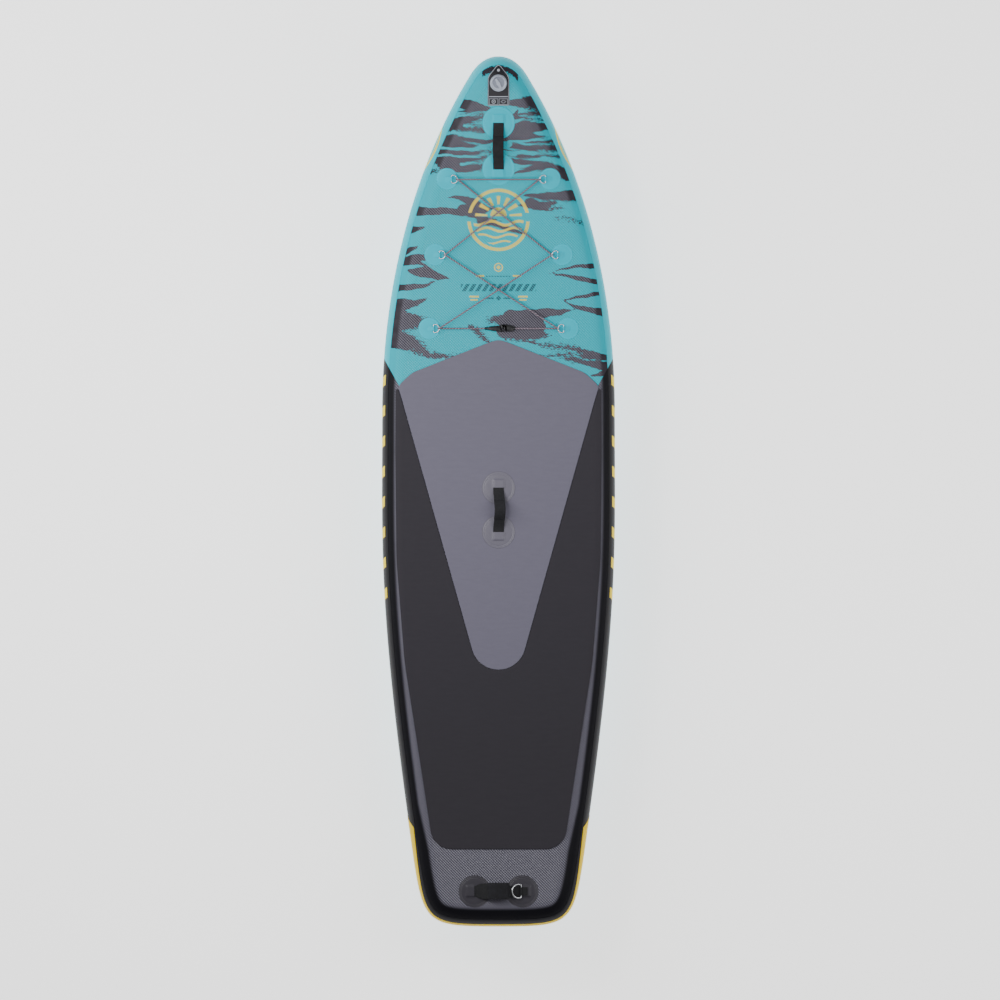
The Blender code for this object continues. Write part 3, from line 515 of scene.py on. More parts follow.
def sun_mark(n, x, s):
    """A round badge: an open ring with rays of light over rolling waves."""
    away, dx, ds = disc_field(n, x, s, 0.0, 0.596)
    sun_away = disc_field(n, x, s, 0.0, 0.58)[0]
    above = -0.0135 - ds
    rays = (n.math("COSINE", n.math("ARCTAN2", dx, -0.016 - ds) * 12.0) - 0.35) * 0.006
    shapes = [
        n.lowest(0.0062 - abs(away - 0.1085), abs(ds + 0.01) - 0.016),
        n.lowest(0.03 - sun_away, above),
        n.lowest(rays, sun_away - 0.041, 0.088 - away, above),
    ]
    for k in range(4):
        swell = n.math("SINE", n.math("MULTIPLY_ADD", dx, 62.0, 1.1 * k)) * (0.0075 - 0.0008 * k)
        band = 0.0052 - 0.0006 * k - abs(ds - (0.012 + 0.0235 * k) - swell)
        shapes.append(n.lowest(band, 0.0925 - away))
    return n.step(n.highest(*shapes), 0.0004)


def small_marks(n, x, s):
    """Yellow and dark bars below the badge."""
    away = disc_field(n, x, s, 0.0, 0.7705)[0]
    ticks = (0.31 - n.repeat(x + 0.5, 0.0105)) * 0.0105
    slide = n.math("MULTIPLY_ADD", s - 0.845, 0.6, x)
    slabs = (0.3 - n.repeat(slide + 0.5, 0.0245)) * 0.0245
    yellow = [0.0022 - abs(away - 0.0145), 0.007 - away]
    dark = [
        n.lowest(ticks, box_field(n, x, s, 0.0, 0.803, 0.047, 0.0022)),
        n.lowest(slabs, box_field(n, x, s, 0.0, 0.845, 0.139, 0.0135)),
        0.01 - (abs(x) + abs(s - 0.884)),
    ]
    bars = ((0.068, 0.802, 0.015, 0.0034), (0.09, 0.878, 0.018, 0.0034), (0.09, 0.89, 0.0135, 0.003))
    for sign in (-1, 1):
        yellow += [box_field(n, x, s, sign * bar[0], *bar[1:]) for bar in bars]
        dark.append(box_field(n, x, s, sign * 0.031, 0.884, 0.013, 0.0028))
    return n.step(n.highest(*yellow), 0.0003), n.step(n.highest(*dark), 0.0003)


def tail_tone(n, place):
    """The black fabric's grey bloom."""
    return n.mix(n.fit(n.noise(place, 60), 0.3, 0.7), srgb(40, 38, 47), srgb(54, 52, 63))


def surface(n, colour, fine, low, high, height=None, depth=0.00012, strength=0.6):
    """Shader inputs of a surface whose roughness, low to high, follows a fine grain."""
    normal = n.bump(height or fine, depth, strength)
    return {"Base Color": colour, "Roughness": n.fit(fine, 0.3, 0.7, low, high), "Normal": normal}


def deck_look(n):
    colour, mask, behind, (x, y, place) = base_print(n)
    s = LENGTH / 2 - y
    yellow, dark = small_marks(n, x, s)
    colour = n.mix(dark, colour, srgb(38, 62, 74))
    colour = n.mix(n.highest(sun_mark(n, x, s), yellow), colour, YELLOW)
    rear = n.highest(behind, n.step(s - 1.5, 0.001))
    colour = n.mix(rear, colour, tail_tone(n, place))
    colour, height = emboss_with_painted_glints(n, x, y, colour, n.highest(rear, mask), rear)
    fine = n.noise(place, 900)
    return surface(n, colour, fine, 0.22, 0.3, height + fine * 0.1, 0.00075, 1.0)


def rail_look(n):
    colour, mask, behind, (x, y, place) = base_print(n)
    # The deck's emboss reaches over the rail's top down to this inset, and behind the seam plain black PVC
    # lies beyond it; towards the tail the plain black is widened as painted shade of the rail's curving
    # edge.
    edge = n.fit(LENGTH / 2 - y, 2.75, 2.92, 0.046, 0.06)
    top = n.step(n.attribute("inset") - edge, 0.008)
    colour = n.mix(behind, colour, n.mix(top, BLACK_PVC, tail_tone(n, place)))
    colour, height = emboss_with_painted_glints(n, x, y, colour, n.highest(behind, mask), behind, top)
    fine = n.noise(place, 700)
    return surface(n, colour, fine, 0.38, 0.48, height + fine * 0.1, 0.00075, 0.9)


def rail_marks(n, s, z):
    """A yellow hoop near the nose and a row of slanted slabs amidships, on the rail's side."""
    rise = z - n.fit(s, 0.15, 0.55, 0.158, 0.103)
    along = s - 0.33
    away = n.math("SQRT", along * along + n.math("POWER", rise * 1.55, 2.0))
    hoop = 0.0055 - abs(away - 0.08)
    arc = n.lowest(0.0028 - abs(away - 0.064), abs(rise) - 0.012)
    step = (n.math("FRACT", (s - 1.142) * (1 / 0.112)) - 0.5) * 0.112
    lean = n.math("MULTIPLY_ADD", z - RAIL_R, 0.35, step)
    slab = n.lowest(0.019 - abs(lean), 0.04 - abs(z - RAIL_R), s - 1.142, 2.038 - s)
    return n.step(n.highest(hoop, arc, slab), 0.0004)


def band_look(n):
    x, y, z, place = n.place()
    colour = n.mix(seam(n, x, y), BAND_TEAL_AND_HIGHLIGHT, BLACK_PVC)
    colour = n.mix(rail_marks(n, LENGTH / 2 - y, z), colour, YELLOW)
    return surface(n, colour, n.noise(place, 700), 0.4, 0.5)


def plain_pvc(colour):
    def build(n):
        place = n.place()[3]
        tint = n.mix(n.fit(n.noise(place, 26), 0.3, 0.7), colour, shade(colour, 1.06, 0.002))
        return surface(n, tint, n.noise(place, 700), 0.38, 0.48)

    return build


def disc_pvc(colour):
    """Welded patch fabric: faint rings near the edge and a dotted weld line."""

    def build(n):
        made = plain_pvc(colour)(n)
        radius = n.attribute("disc_radius")
        rings = n.highest(0.006 - abs(radius - 0.94), 0.005 - abs(radius - 0.845))
        dots = n.repeat(n.attribute("disc_turn"), 1 / 60)
        weld = n.lowest(0.007 - abs(radius - 0.9), (dots - 0.22) * 0.05)
        lines = n.step(n.highest(rings, weld), 0.002)
        tint = n.mix(lines, made["Base Color"], shade(colour, 1.35, 0.03))
        rim = n.step(radius - 0.975, 0.006)
        return {**made, "Base Color": n.mix(rim * 0.5, tint, shade(colour, 0.7))}

    return build


def foam_look(colour):
    """Closed-cell foam with fine crosswise ribs and pores."""

    def build(n):
        x, y, z, place = n.place()
        pores = n.noise(place, 1150, 2.0, 0.6)
        tone = n.noise(n.vector(x * 0.25, y, z), 90, 3.0, 0.6)
        height = (n.repeat(y, 0.0034) + n.repeat(x, 0.0034)) * 0.55 + pores
        tint = n.mix(n.fit(tone, 0.3, 0.7), colour, shade(colour, 1.045, 0.001))
        tint = n.mix(n.fit(pores, 0.62, 0.8), tint, shade(colour, 0.72))
        return {"Base Color": tint, "Normal": n.bump(height, 0.00022, 0.8)}

    return build


def webbing_look(colour):
    """Woven ribs across a strap, with warp columns along it, coloured lighter on the raised crests and
    darker in the grooves: painted highlight and shade on the weave.
    """

    def build(n):
        u, v, _ = n.split(n.attribute("cloth", "Vector"))
        column = v * (1 / 0.0016)
        rib = u * (1 / 0.00125) + n.math("FLOOR", column) * 0.5
        rise = n.math("SINE", rib * (2 * math.pi))
        height = rise * 0.5 + n.math("COSINE", column * (2 * math.pi)) * -0.5
        # Painted highlight and shade: the black webbing is lightened on the crests of its relief.
        tint = n.mix(n.fit(height, -1.0, 1.0), colour, shade(colour, 1.9, 0.01))
        return {"Base Color": tint, "Normal": n.bump(height, 0.00028, 0.7)}

    return build


def braid_look(colour, fleck):
    """Elastic cord's braided sleeve with tracer threads."""

    def build(n):
        u, v, _ = n.split(n.attribute("cloth", "Vector"))
        along = u * (1 / 0.0056)
        turn = along + v * 2.0
        one = abs(n.math("FRACT", turn) - 0.5)
        two = abs(n.math("FRACT", along - v * 2.0) - 0.5)
        tracer = n.step(n.lowest(0.15 - one, n.math("FRACT", turn * 0.5) - 0.5), 0.02)
        relief = n.bump(n.lowest(one, two), 0.0006, 0.9)
        return {"Base Color": n.mix(tracer, colour, fleck), "Normal": relief}

    return build


def neoprene_look(n):
    place = n.place()[3]
    tint = n.mix(n.fit(n.noise(place, 60), 0.3, 0.7), srgb(17, 17, 22), srgb(27, 27, 33))
    return {"Base Color": tint, "Normal": n.bump(n.noise(place, 1300), 0.0002, 0.7)}


def grained(colour, scale):
    def build(n):
        grain = n.noise(n.place()[3], scale, 3.0)
        tint = n.mix(n.fit(grain, 0.3, 0.7), colour, shade(colour, 1.12, 0.003))
        return {"Base Color": tint, "Normal": n.bump(grain, 0.0001, 0.6)}

    return build


def steel_look(n):
    return {"Roughness": n.fit(n.noise(n.place()[3], 300, 3.0), 0.3, 0.7, 0.16, 0.3)}


def label_look(n):
    """Black film label: a light outline, a dot, a rule and two framed boxes."""
    x, y, _, place = n.place()
    s = LENGTH / 2 - y
    away = disc_field(n, x, s, -0.0178, 0.1645)[0]
    diamond = abs(x - 0.0178) + abs(s - 0.1645) * 1.4
    shapes = [
        0.0007 - abs(n.attribute("edge_distance") - 0.0018),
        0.0052 - disc_field(n, x, s, 0.0, 0.05)[0],
        box_field(n, x, s, 0.0, 0.1465, 0.0345, 0.0013),
        0.0009 - abs(away - 0.0062),
        0.0016 - away,
        0.0009 - abs(diamond - 0.0088),
    ]
    for cx in (-0.0178, 0.0178):
        box = box_field(n, x, s, cx, 0.1645, 0.016, 0.0108)
        hollow = box_field(n, x, s, cx, 0.1645, 0.015, 0.0098)
        shapes.append(n.lowest(box, hollow * -1.0))
    mask = n.step(n.highest(*shapes), 0.0002)
    return {
        "Base Color": n.mix(mask, srgb(24, 22, 30), srgb(190, 196, 208)),
        "Roughness": n.fit(n.noise(place, 800), 0.3, 0.7, 0.36, 0.46),
    }


def cap_look(n):
    """Valve cap: bright rim and lever over a darker hatched recess."""
    x, y, _, place = n.place()
    away = disc_field(n, x, LENGTH / 2 - y, 0.0, VALVE_S)[0]
    hatch = n.step(n.repeat(y - x, 0.0046) - 0.24, 0.05)
    inner = n.mix(hatch, srgb(112, 116, 132), srgb(150, 156, 172))
    colour = n.mix(n.step(0.0218 - away, 0.0006), srgb(180, 188, 204), inner)
    return surface(n, colour, n.noise(place, 320), 0.32, 0.44, depth=0.0001, strength=0.5)


M = {
    "rear_pvc": material("rear_pvc_cloth", srgb(50, 48, 58), 0.42, Specular_IOR_Level=0.3,
        build=deck_look),
    "deck_pvc": material("deck_pvc_print", TEAL, 0.42, Specular_IOR_Level=0.3, build=deck_look),
    "rail_pvc": material("rail_pvc_print", TEAL, 0.42, Specular_IOR_Level=0.14, build=rail_look),
    "rail_band": material("rail_band_pvc", BAND_TEAL_AND_HIGHLIGHT, 0.44, Specular_IOR_Level=0.14, build=band_look),
    "hull_pvc": material("bottom_pvc", TEAL, 0.42, Specular_IOR_Level=0.18, build=plain_pvc(TEAL)),
    "core_cloth": material("stitch_cloth", (0.7, 0.7, 0.68), 0.9,
        build=grained((0.66, 0.66, 0.64), 900)),
    "band_yellow": material("tail_band_pvc", BAND_YELLOW, 0.55, Specular_IOR_Level=0.08,
        build=plain_pvc(BAND_YELLOW)),
    "pad_grey": material("foam_grey", srgb(121, 118, 134), 0.88, build=foam_look(srgb(110, 107, 123))),
    "pad_dark": material("foam_dark", srgb(54, 51, 58), 0.88, build=foam_look(srgb(48, 45, 52))),
    "patch_teal": material("patch_teal_pvc", PATCH_TEAL, 0.42, Specular_IOR_Level=0.18,
        build=disc_pvc(PATCH_TEAL)),
    "patch_grey": material("patch_grey_pvc", srgb(96, 94, 106), 0.45,
        build=disc_pvc(srgb(104, 101, 114))),
    "patch_dark": material("patch_dark_pvc", srgb(58, 55, 64), 0.45, build=disc_pvc(srgb(52, 49, 58))),
    "webbing_black": material("webbing_weave", srgb(17, 17, 22), 0.8,
        build=webbing_look(srgb(14, 14, 18))),
    "neoprene_black": material("grip_knit", srgb(20, 20, 25), 0.85, build=neoprene_look),
    "stitch": material("stitch_thread", srgb(44, 44, 50), 0.7, build=grained(srgb(46, 46, 52), 1800)),
    "ring_steel": material("polished_steel", (0.72, 0.73, 0.76), 0.22, 1.0, build=steel_look),
    "cord_grey": material("cord_braid", srgb(110, 88, 102), 0.8,
        build=braid_look(srgb(112, 94, 106), srgb(196, 190, 204))),
    "hook_plastic": material("hook_nylon", srgb(20, 20, 24), 0.42, build=grained(srgb(20, 20, 24), 260)),
    "valve_grey": material("valve_body_nylon", srgb(150, 156, 168), 0.42,
        build=grained(srgb(148, 154, 166), 320)),
    "valve_silver": material("valve_cap_nylon", srgb(176, 182, 196), 0.36, 0.15,
        build=grained(srgb(172, 178, 194), 320)),
    "valve_pin_plastic": material("valve_pin_nylon", (0.6, 0.6, 0.6), 0.4,
        build=grained((0.58, 0.58, 0.58), 320)),
    "valve_cap": material("valve_cap_face", srgb(176, 182, 196), 0.36, build=cap_look),
    "label_black": material("label_film", srgb(24, 22, 30), 0.4, build=label_look),
    "fin_black": material("fin_nylon", srgb(22, 22, 26), 0.34, build=grained(srgb(22, 22, 26), 340)),
    "clip_grey": material("clip_nylon", srgb(120, 120, 126), 0.42,
        build=grained(srgb(120, 120, 126), 340)),
}

# ------------------------------------------------------------ mesh builders


def mesh_object(name, points, faces, mats, sharp=40, indices=None, recalc=True, merge=False):
    mesh = bpy.data.meshes.new(name)
    mesh.from_pydata(np.asarray(points, float).reshape(-1, 3).tolist(), [], faces)
    if recalc:
        bm = bmesh.new()
        bm.from_mesh(mesh)
        if merge:
            bmesh.ops.remove_doubles(bm, verts=bm.verts, dist=1e-6)
        bmesh.ops.recalc_face_normals(bm, faces=bm.faces)
        bm.to_mesh(mesh)
        bm.free()
    for slot in (mats,) if isinstance(mats, str) else mats:
        mesh.materials.append(M[slot])
    if indices is not None:
        mesh.polygons.foreach_set("material_index", np.asarray(indices, np.int32))
    mesh.polygons.foreach_set("use_smooth", np.ones(len(mesh.polygons), bool))
    mesh.set_sharp_from_angle(angle=math.radians(sharp))
    obj = bpy.data.objects.new(name, mesh)
    bpy.context.scene.collection.objects.link(obj)
    return obj


def grid_faces(rows, cols, wrap_rows=False, wrap_cols=False, caps=False):
    """Quads of a grid whose points are stored row by row."""
    i = np.arange(rows if wrap_rows else rows - 1)[:, None]
    j = np.arange(cols if wrap_cols else cols - 1)[None, :]
    i2, j2 = (i + 1) % rows, (j + 1) % cols
    quads = np.stack(
        np.broadcast_arrays(i * cols + j, i * cols + j2, i2 * cols + j2, i2 * cols + j), -1
    )
    faces = quads.reshape(-1, 4).tolist()
    if caps:
        faces.append(list(range(cols))[::-1])
        faces.append([(rows - 1) * cols + k for k in range(cols)])
    return faces


def loft(name, loops, mat, sharp=40, closed=False, **more):
    loops = np.asarray(loops, float)
    faces = grid_faces(*loops.shape[:2], wrap_rows=closed, wrap_cols=True, caps=not closed)
    return mesh_object(name, loops, faces, mat, sharp, **more)


def attribute(obj, name, values):
    """Stores one number, or a vector, at each vertex."""
    values = np.asarray(values, np.float32)
    kind = "FLOAT" if values.ndim == 1 else "FLOAT_VECTOR"
    layer = obj.data.attributes.new(name, kind, "POINT")
    layer.data.foreach_set("value" if kind == "FLOAT" else "vector", values.ravel())


def woven(obj, along, across):
    """Stores the distance along and across a strap or cord, for its weave."""
    along, across = np.broadcast_arrays(along, across)
    attribute(obj, "cloth", np.stack((along, across, 0 * along), -1).reshape(-1, 3))


def vertices(obj):
    out = np.empty(len(obj.data.vertices) * 3)
    obj.data.vertices.foreach_get("co", out)
    return out.reshape(-1, 3)


def printed(obj):
    field, dry = print_field(vertices(obj))
    attribute(obj, "stroke_field", field)
    attribute(obj, "stroke_dry", dry)
    return obj


def face_up(obj, side=1):
    """Turns an open sheet so that it faces up, or down for side -1."""
    if side * sum(f.normal.z * f.area for f in obj.data.polygons) < 0:
        obj.data.flip_normals()
    return obj


def put_at(matrix, local):
    """Points of a local frame in the row frame."""
    m = np.array(matrix)
    return local @ m[:3, :3].T + m[:3, 3]


def lengths(path):
    """Distance along a path at each of its points."""
    return np.concatenate(([0], np.cumsum(np.linalg.norm(np.diff(path, axis=0), axis=1))))


def circle(count):
    """Angles of that many points round a circle."""
    return np.arange(count) * 2 * math.pi / count


def fit_out(obj, body, *nodes, slot):
    """Places a finished piece on its body, in the stead of its CAD nodes."""
    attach(obj, body)
    if nodes:
        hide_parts(*nodes)


def bevelled(obj, width, segments):
    bevel = obj.modifiers.new("edges", "BEVEL")
    bevel.width = width
    bevel.segments = segments
    bevel.limit_method = "ANGLE"
    bevel.angle_limit = math.radians(35)
    bevel.harden_normals = True


def draped(name, x, s, h, mat, base, sharp=40):
    """A layer on the deck from grids of plan points and heights, with its edges brought down."""
    x, s, h = (np.pad(a, 1, mode="edge") for a in np.broadcast_arrays(x, s, h))
    h[0], h[-1], h[:, 0], h[:, -1] = base, base, base, base
    faces = grid_faces(*x.shape)
    return face_up(mesh_object(name, deck(x, s, h), faces, mat, sharp, recalc=False))


def tube(name, path, radius, mat, closed=False, sides=16, sharp=60):
    """A round wire or cord along a path, with its length and turn stored for its braid."""
    count = len(path)
    ahead = np.roll(path, -1, 0) - np.roll(path, 1, 0) if closed else np.gradient(path, axis=0)
    ahead /= np.linalg.norm(ahead, axis=1)[:, None]
    side = np.cross(ahead[0], (0, 0, 1.0))
    if np.linalg.norm(side) < 0.1:
        side = np.cross(ahead[0], (0, 1.0, 0))
    across = []
    for t in ahead:
        side = side - t * side.dot(t)
        side /= np.linalg.norm(side)
        across.append(side)
    across = np.array(across)
    other = np.cross(ahead, across)
    if closed:
        twist = math.atan2(across[-1].dot(other[0]), across[-1].dot(across[0]))
        spin = -twist * np.arange(count)[:, None] / count
        across = across * np.cos(spin) + other * np.sin(spin)
        other = np.cross(ahead, across)
    turn = circle(sides)[None, :, None]
    r = np.broadcast_to(radius, (count,))[:, None, None]
    loops = path[:, None] + r * (across[:, None] * np.cos(turn) + other[:, None] * np.sin(turn))
    obj = loft(name, loops, mat, sharp, closed=closed)
    woven(obj, lengths(path)[:, None], np.abs(np.arange(sides) / sides * 2 - 1)[None])
    return obj


def smoothed(path, closed, rounds):
    """The path with its corners eased."""
    for _ in range(rounds):
        if closed:
            path = (np.roll(path, 1, 0) + 2 * path + np.roll(path, -1, 0)) / 4
        else:
            path[1:-1] = (path[:-2] + 2 * path[1:-1] + path[2:]) / 4
    return path


def evenly(path, count):
    """That many points at even steps along a path."""
    path = np.asarray(path, float)
    along = lengths(path)
    wanted = np.linspace(0, along[-1], count)
    return np.stack([np.interp(wanted, along, column) for column in path.T], -1)


def resampled(path, spacing, closed=False):
    path = np.asarray(path, float)
    if closed:
        path = np.vstack((path, path[:1]))
    out = evenly(path, max(3, int(round(lengths(path)[-1] / spacing))) + 1)
    return out[:-1] if closed else out


def revolve(name, profile, matrix, mat, sharp=34, steps=96):
    """A profile of (radius, height) turned about the matrix's Z axis. Radius 0 ends close it."""
    r, z = np.array(profile, float).T[:, :, None]
    turn = circle(steps)
    points = put_at(matrix, np.stack((r * np.cos(turn), r * np.sin(turn), z + 0 * turn), -1))
    faces = grid_faces(len(r), steps, wrap_cols=True)
    return mesh_object(name, points, faces, mat, sharp, merge=True)


def prism(name, outline, matrix, span, mat, body, bevel, segments=2, nodes=(), axes="xyz"):
    """A moulded bar: an outline in two of the matrix's axes, drawn out along the third."""
    order = [axes.index(axis) for axis in "xyz"]
    loops = [put_at(matrix, np.array([(*p, end) for p in outline])[:, order]) for end in span]
    obj = loft(name, loops, mat, 30)
    bevelled(obj, bevel, segments)
    fit_out(obj, body, *nodes, slot=mat)


def rounded_section(half, high, radius, steps=3):
    """Points (across, up) of a rectangle with rounded corners, from height 0 up."""
    out = []
    corners = ((1, 1), (-1, 1), (-1, -1), (1, -1))
    for quarter, (side, up) in enumerate(corners):
        for k in range(steps + 1):
            a = math.radians(90 * (quarter + k / steps))
            middle = high - radius if up > 0 else radius
            out.append((side * (half - radius) + radius * math.cos(a), middle + radius * math.sin(a)))
    return np.array(out)


# ------------------------------------------------------------ hull

BAND_EDGE = 44.7
BAND_OUT = 0.0013


def rail_sections(rows, angles, out):
    """Rail surface points for outline rows and section angles, moved out by out."""
    s, w, n_s, n_x = rows.T[:, :, None]
    angles = np.radians(np.atleast_2d(angles))
    reach = rail_reach(s)
    inset = reach - (reach + out) * np.cos(angles)
    return w + n_x * inset, LENGTH / 2 - (s + n_s * inset), (RAIL_R + out) * np.sin(angles)


def build_rails():
    rows = half_outline((24, 260, 70, 60))
    inner = np.linspace(-90, -BAND_EDGE, 14)[:-1]
    edge = np.array((-BAND_EDGE - 0.35, -BAND_EDGE + 0.25))
    band = np.linspace(-BAND_EDGE + 1.2, BAND_EDGE - 1.2, 30)
    angles = np.concatenate((inner, edge, band, -edge[::-1], -inner[::-1]))
    out = np.where(np.abs(angles) < BAND_EDGE, BAND_OUT, 0.0)
    within = np.abs(angles[:-1] + angles[1:]) / 2 < BAND_EDGE + 0.1
    x, y, h = rail_sections(rows, angles, out)
    inset = rail_reach(rows[:, :1]) * (1 - np.cos(np.radians(angles))) * (angles > 0)
    for name, sign in (("rail_left", -1), ("rail_right", 1)):
        back = bend(*(a[:, ::-1] for a in (sign * x * 0.9975, y, h * 0.985)))
        loops = np.concatenate((bend(sign * x, y, h), back), 1)
        index = np.zeros((len(rows) - 1, loops.shape[1]), int)
        index[:, : len(angles) - 1][:, within] = 1
        index = [*index.ravel(), 0, 0]
        obj = loft(name + "_cloth", loops, ("rail_pvc", "rail_band"), 28, indices=index)
        attribute(obj, "inset", np.concatenate((inset, inset[:, ::-1]), 1).ravel())
        printed(obj)
        fit_out(obj, "hull", name, slot="rail_pvc")


def skin(name, rows, side, columns, mat, node, hole=None):
    """A flat face between the rails, with a hole for the valve."""
    s, w, n_s, n_x = rows.T
    inset = rail_reach(s) + 0.0001
    x = np.maximum(w + n_x * inset, 0)[:, None] * np.linspace(-1, 1, columns)
    y = (LENGTH / 2 - (s + n_s * inset))[:, None] + 0 * x
    points = bend(x, y, side * RAIL_R + 0 * x).reshape(-1, 3)
    faces = np.array(grid_faces(*x.shape))
    if hole is not None:
        faces = faces[np.linalg.norm(points[faces].mean(1) - hole, axis=1) > 0.015]
    obj = face_up(mesh_object(name, points, faces.tolist(), mat, recalc=False), side)
    if side > 0:
        printed(obj)
    fit_out(obj, "hull", node, slot=mat)


def build_skins():
    front = half_outline((14, 250, 1, 1))
    front = np.vstack((front[front[:, 0] < 1.2999], half_outline((1, 1, 1, 1))[2]))
    rear = half_outline((1, 1, 14, 60))
    rear = rear[rear[:, 0] > 1.2999]
    hole = deck(0.0, VALVE_S, 0.0)
    skin("deck_skin_front_cloth", front, 1, 151, "deck_pvc", "deck_skin_front", hole)
    skin("deck_skin_rear_cloth", rear, 1, 31, "rear_pvc", "deck_skin_rear")
    skin("bottom_skin_cloth", half_outline((14, 60, 14, 40)), -1, 31, "hull_pvc", "bottom_skin")


def build_tail_band():
    rows = half_outline((1, 1, 600, 80))
    s = rows[:, 0]
    kept = (s < BAND_FROM + 0.056) | (np.arange(len(rows)) % 6 == 0) | (s > 2.894)
    rows = rows[(s > BAND_FROM) & kept]
    far = rows[:, :1] - BAND_FROM
    ramp = np.clip(far / 0.05, 0.04, 1)
    low, high = -37.0, -6.0 + (47.0 - 18.0 * far / (LENGTH - BAND_FROM)) * ramp**0.8
    angles = low + (high - low) * np.linspace(0, 1, 22)
    outer, inner = (
        np.concatenate((right[:-1] * (-1, 1, 1), right[::-1]))
        for right in (bend(*rail_sections(rows, angles, BAND_OUT + d)) for d in (0.0009, -0.0004))
    )
    loops = np.concatenate((outer, inner[:, ::-1]), 1)
    obj = loft("tail_rail_band_cloth", loops, "band_yellow")
    fit_out(obj, "hull", "tail_rail_band", slot="band_yellow")


# ------------------------------------------------------------ foam pads

PAD_LOW = 0.0007
PAD_THICK = 0.0045
PAD_SPLIT = 0.0016
MAIN_PAD = ((0.378, 1.2185), (0.379, 1.45), (0.375, 1.85), (0.345, 2.229), (0.267, 2.737))
MAIN_PAD += ((0.24, PAD_BOTTOM), (0.0, PAD_BOTTOM))


def rounded(corners, radii, steps=10):
    """An open run of plan points with its inner corners rounded."""
    out = [corners[0]]
    for a, b, c, r in zip(corners, corners[1:], corners[2:], radii[1:]):
        a, b, c = (Vector(p) for p in (a, b, c))
        u, v = (a - b).normalized(), (c - b).normalized()
        if r == 0:
            out.append(tuple(b))
            continue
        half = u.angle(v) / 2
        start, end = b + u * r / math.tan(half), b + v * r / math.tan(half)
        middle = b + (u + v).normalized() * r / math.sin(half)
        first, last = (start - middle).normalized(), (end - middle).normalized()
        for k in range(steps + 1):
            out.append(tuple(middle + first.slerp(last, k / steps) * r))
    out.append(corners[-1])
    return out


def kite_half(grow=0.0):
    """Right-hand edge of the kite pad from its point to its round end."""
    (from_w, from_s), (end_w, end_s) = KITE[-2:]
    slope = (end_w - from_w) / (end_s - from_s)
    lean = math.hypot(1, slope)
    bottom = end_s + KITE_END
    middle = (bottom * lean - end_w + slope * end_s) / (slope + lean)
    radius = bottom - middle
    touch = middle - radius * math.sin(math.atan(slope))
    start = math.asin((touch - middle) / radius)
    run = evenly(rounded(KITE, KITE_RADII, 12), 150)
    a = np.linspace(start, math.pi / 2, 25)
    end = np.stack((radius * np.cos(a), middle + radius * np.sin(a)), -1)
    end[-1, 0] = 0.0
    run = np.vstack((run[run[:, 1] < touch - 0.001], end))
    slope = np.gradient(run, axis=0)
    slope /= np.hypot(*slope.T)[:, None]
    return run + grow * slope[:, ::-1] * (1, -1)


def edge_steps(across, bevel, middle):
    """Distances in from a pad's two edges, and each point's height, eased at the edges."""
    ease = np.array([0.0, 0.05, 0.18, 0.42, 0.72, 1.0])
    rise = np.array([0.0, 0.38, 0.66, 0.88, 0.98, 1.0])
    left = np.minimum(ease * bevel, across * 0.49)
    steps = np.linspace(0, 1, middle + 2)[1:-1]
    inner = left[:, -1:] + (across - 2 * left[:, -1:]) * steps
    where = np.concatenate((left, inner, across - left[:, ::-1]), 1)
    risen = np.concatenate((rise, np.ones(middle), rise[::-1]))
    return where, PAD_LOW + PAD_THICK * (0.55 + 0.45 * risen) + 0 * where


def build_kite_pad():
    run = kite_half()
    slope = np.gradient(run, axis=0)[1:-1]
    slope /= np.hypot(*slope.T)[:, None]
    bevel = 0.0016 / np.maximum(np.abs(slope[:, 1:]), 0.12)
    w, s = run[1:-1, :1], run[1:-1, 1:]
    where, h = edge_steps(2 * w, bevel, 40)
    pad = draped("deck_pad_centre_foam", where - w, s, h, "pad_grey", PAD_LOW - 0.0006)
    fit_out(pad, "hull", "deck_pad_centre", slot="pad_grey")


def build_main_pad():
    run = kite_half(PAD_SPLIT)
    inner = run[run[:, 1] > 1.2145]
    inner[-1, 0] = 0.0
    inner = evenly(inner, 220)
    outer = evenly(rounded(MAIN_PAD, (0, 1.0, 1.2, 1.2, 0.0, 0.078), 14), 220)
    across = np.hypot(*(outer - inner).T)[:, None]
    where, h = edge_steps(across, 0.0024, 46)
    plan = outer[:, None] + (inner - outer)[:, None] * (where / across)[..., None]
    plan = np.concatenate((plan * (-1, 1), plan[-2::-1]))
    h = np.concatenate((h, h[-2::-1]))
    pad = draped("deck_pad_main_foam", plan[..., 0], plan[..., 1], h, "pad_dark", PAD_LOW - 0.0006)
    fit_out(pad, "hull", "deck_pad_main", slot="pad_dark")


# ------------------------------------------------------------ welded fittings

STRAP = 0.002
PATCH = 0.0012
GAP = 0.0003
DECK_GAP = 0.0005
STRAP_HALF = 0.0195

# How far along a strap it is how wide: 0 as its ends, 1 as its sleeve.
STRAP_FLARE = ((0.02, 0.07, 0.14, 0.3, 0.5, 0.56), (0, 0.45, 0.8, 0.9, 0.9, 0.0))

# Relief of a patch from its rim in, and of a strap's cover plate along and across: (place, rise)
DISC_PROFILE = ((1.0, 0.0), (0.994, 0.5), (0.985, 0.6), (0.955, 0.62), (0.945, 0.3))
DISC_PROFILE += ((0.935, 0.3), (0.925, 0.7), (0.86, 0.78), (0.85, 0.42), (0.838, 0.42))
DISC_PROFILE += ((0.828, 0.84), (0.8, 1.0), (0.6, 1.06), (0.3, 1.06), (0.05, 1.06))
COVER_ALONG = ((0, 1), (0.12, 1), (0.3, 1), (0.5, 1), (0.7, 1), (0.82, 0.98), (0.9, 0.62))
COVER_ALONG += ((0.95, 0.18), (1.0, 0.1))
COVER_ACROSS = ((0, 0.1), (0.06, 0.16), (0.1, 0.4), (0.13, 0.74), (0.16, 0.95), (0.2, 1), (0.25, 1))
COVER_ACROSS += ((0.35, 1), (0.5, 1))


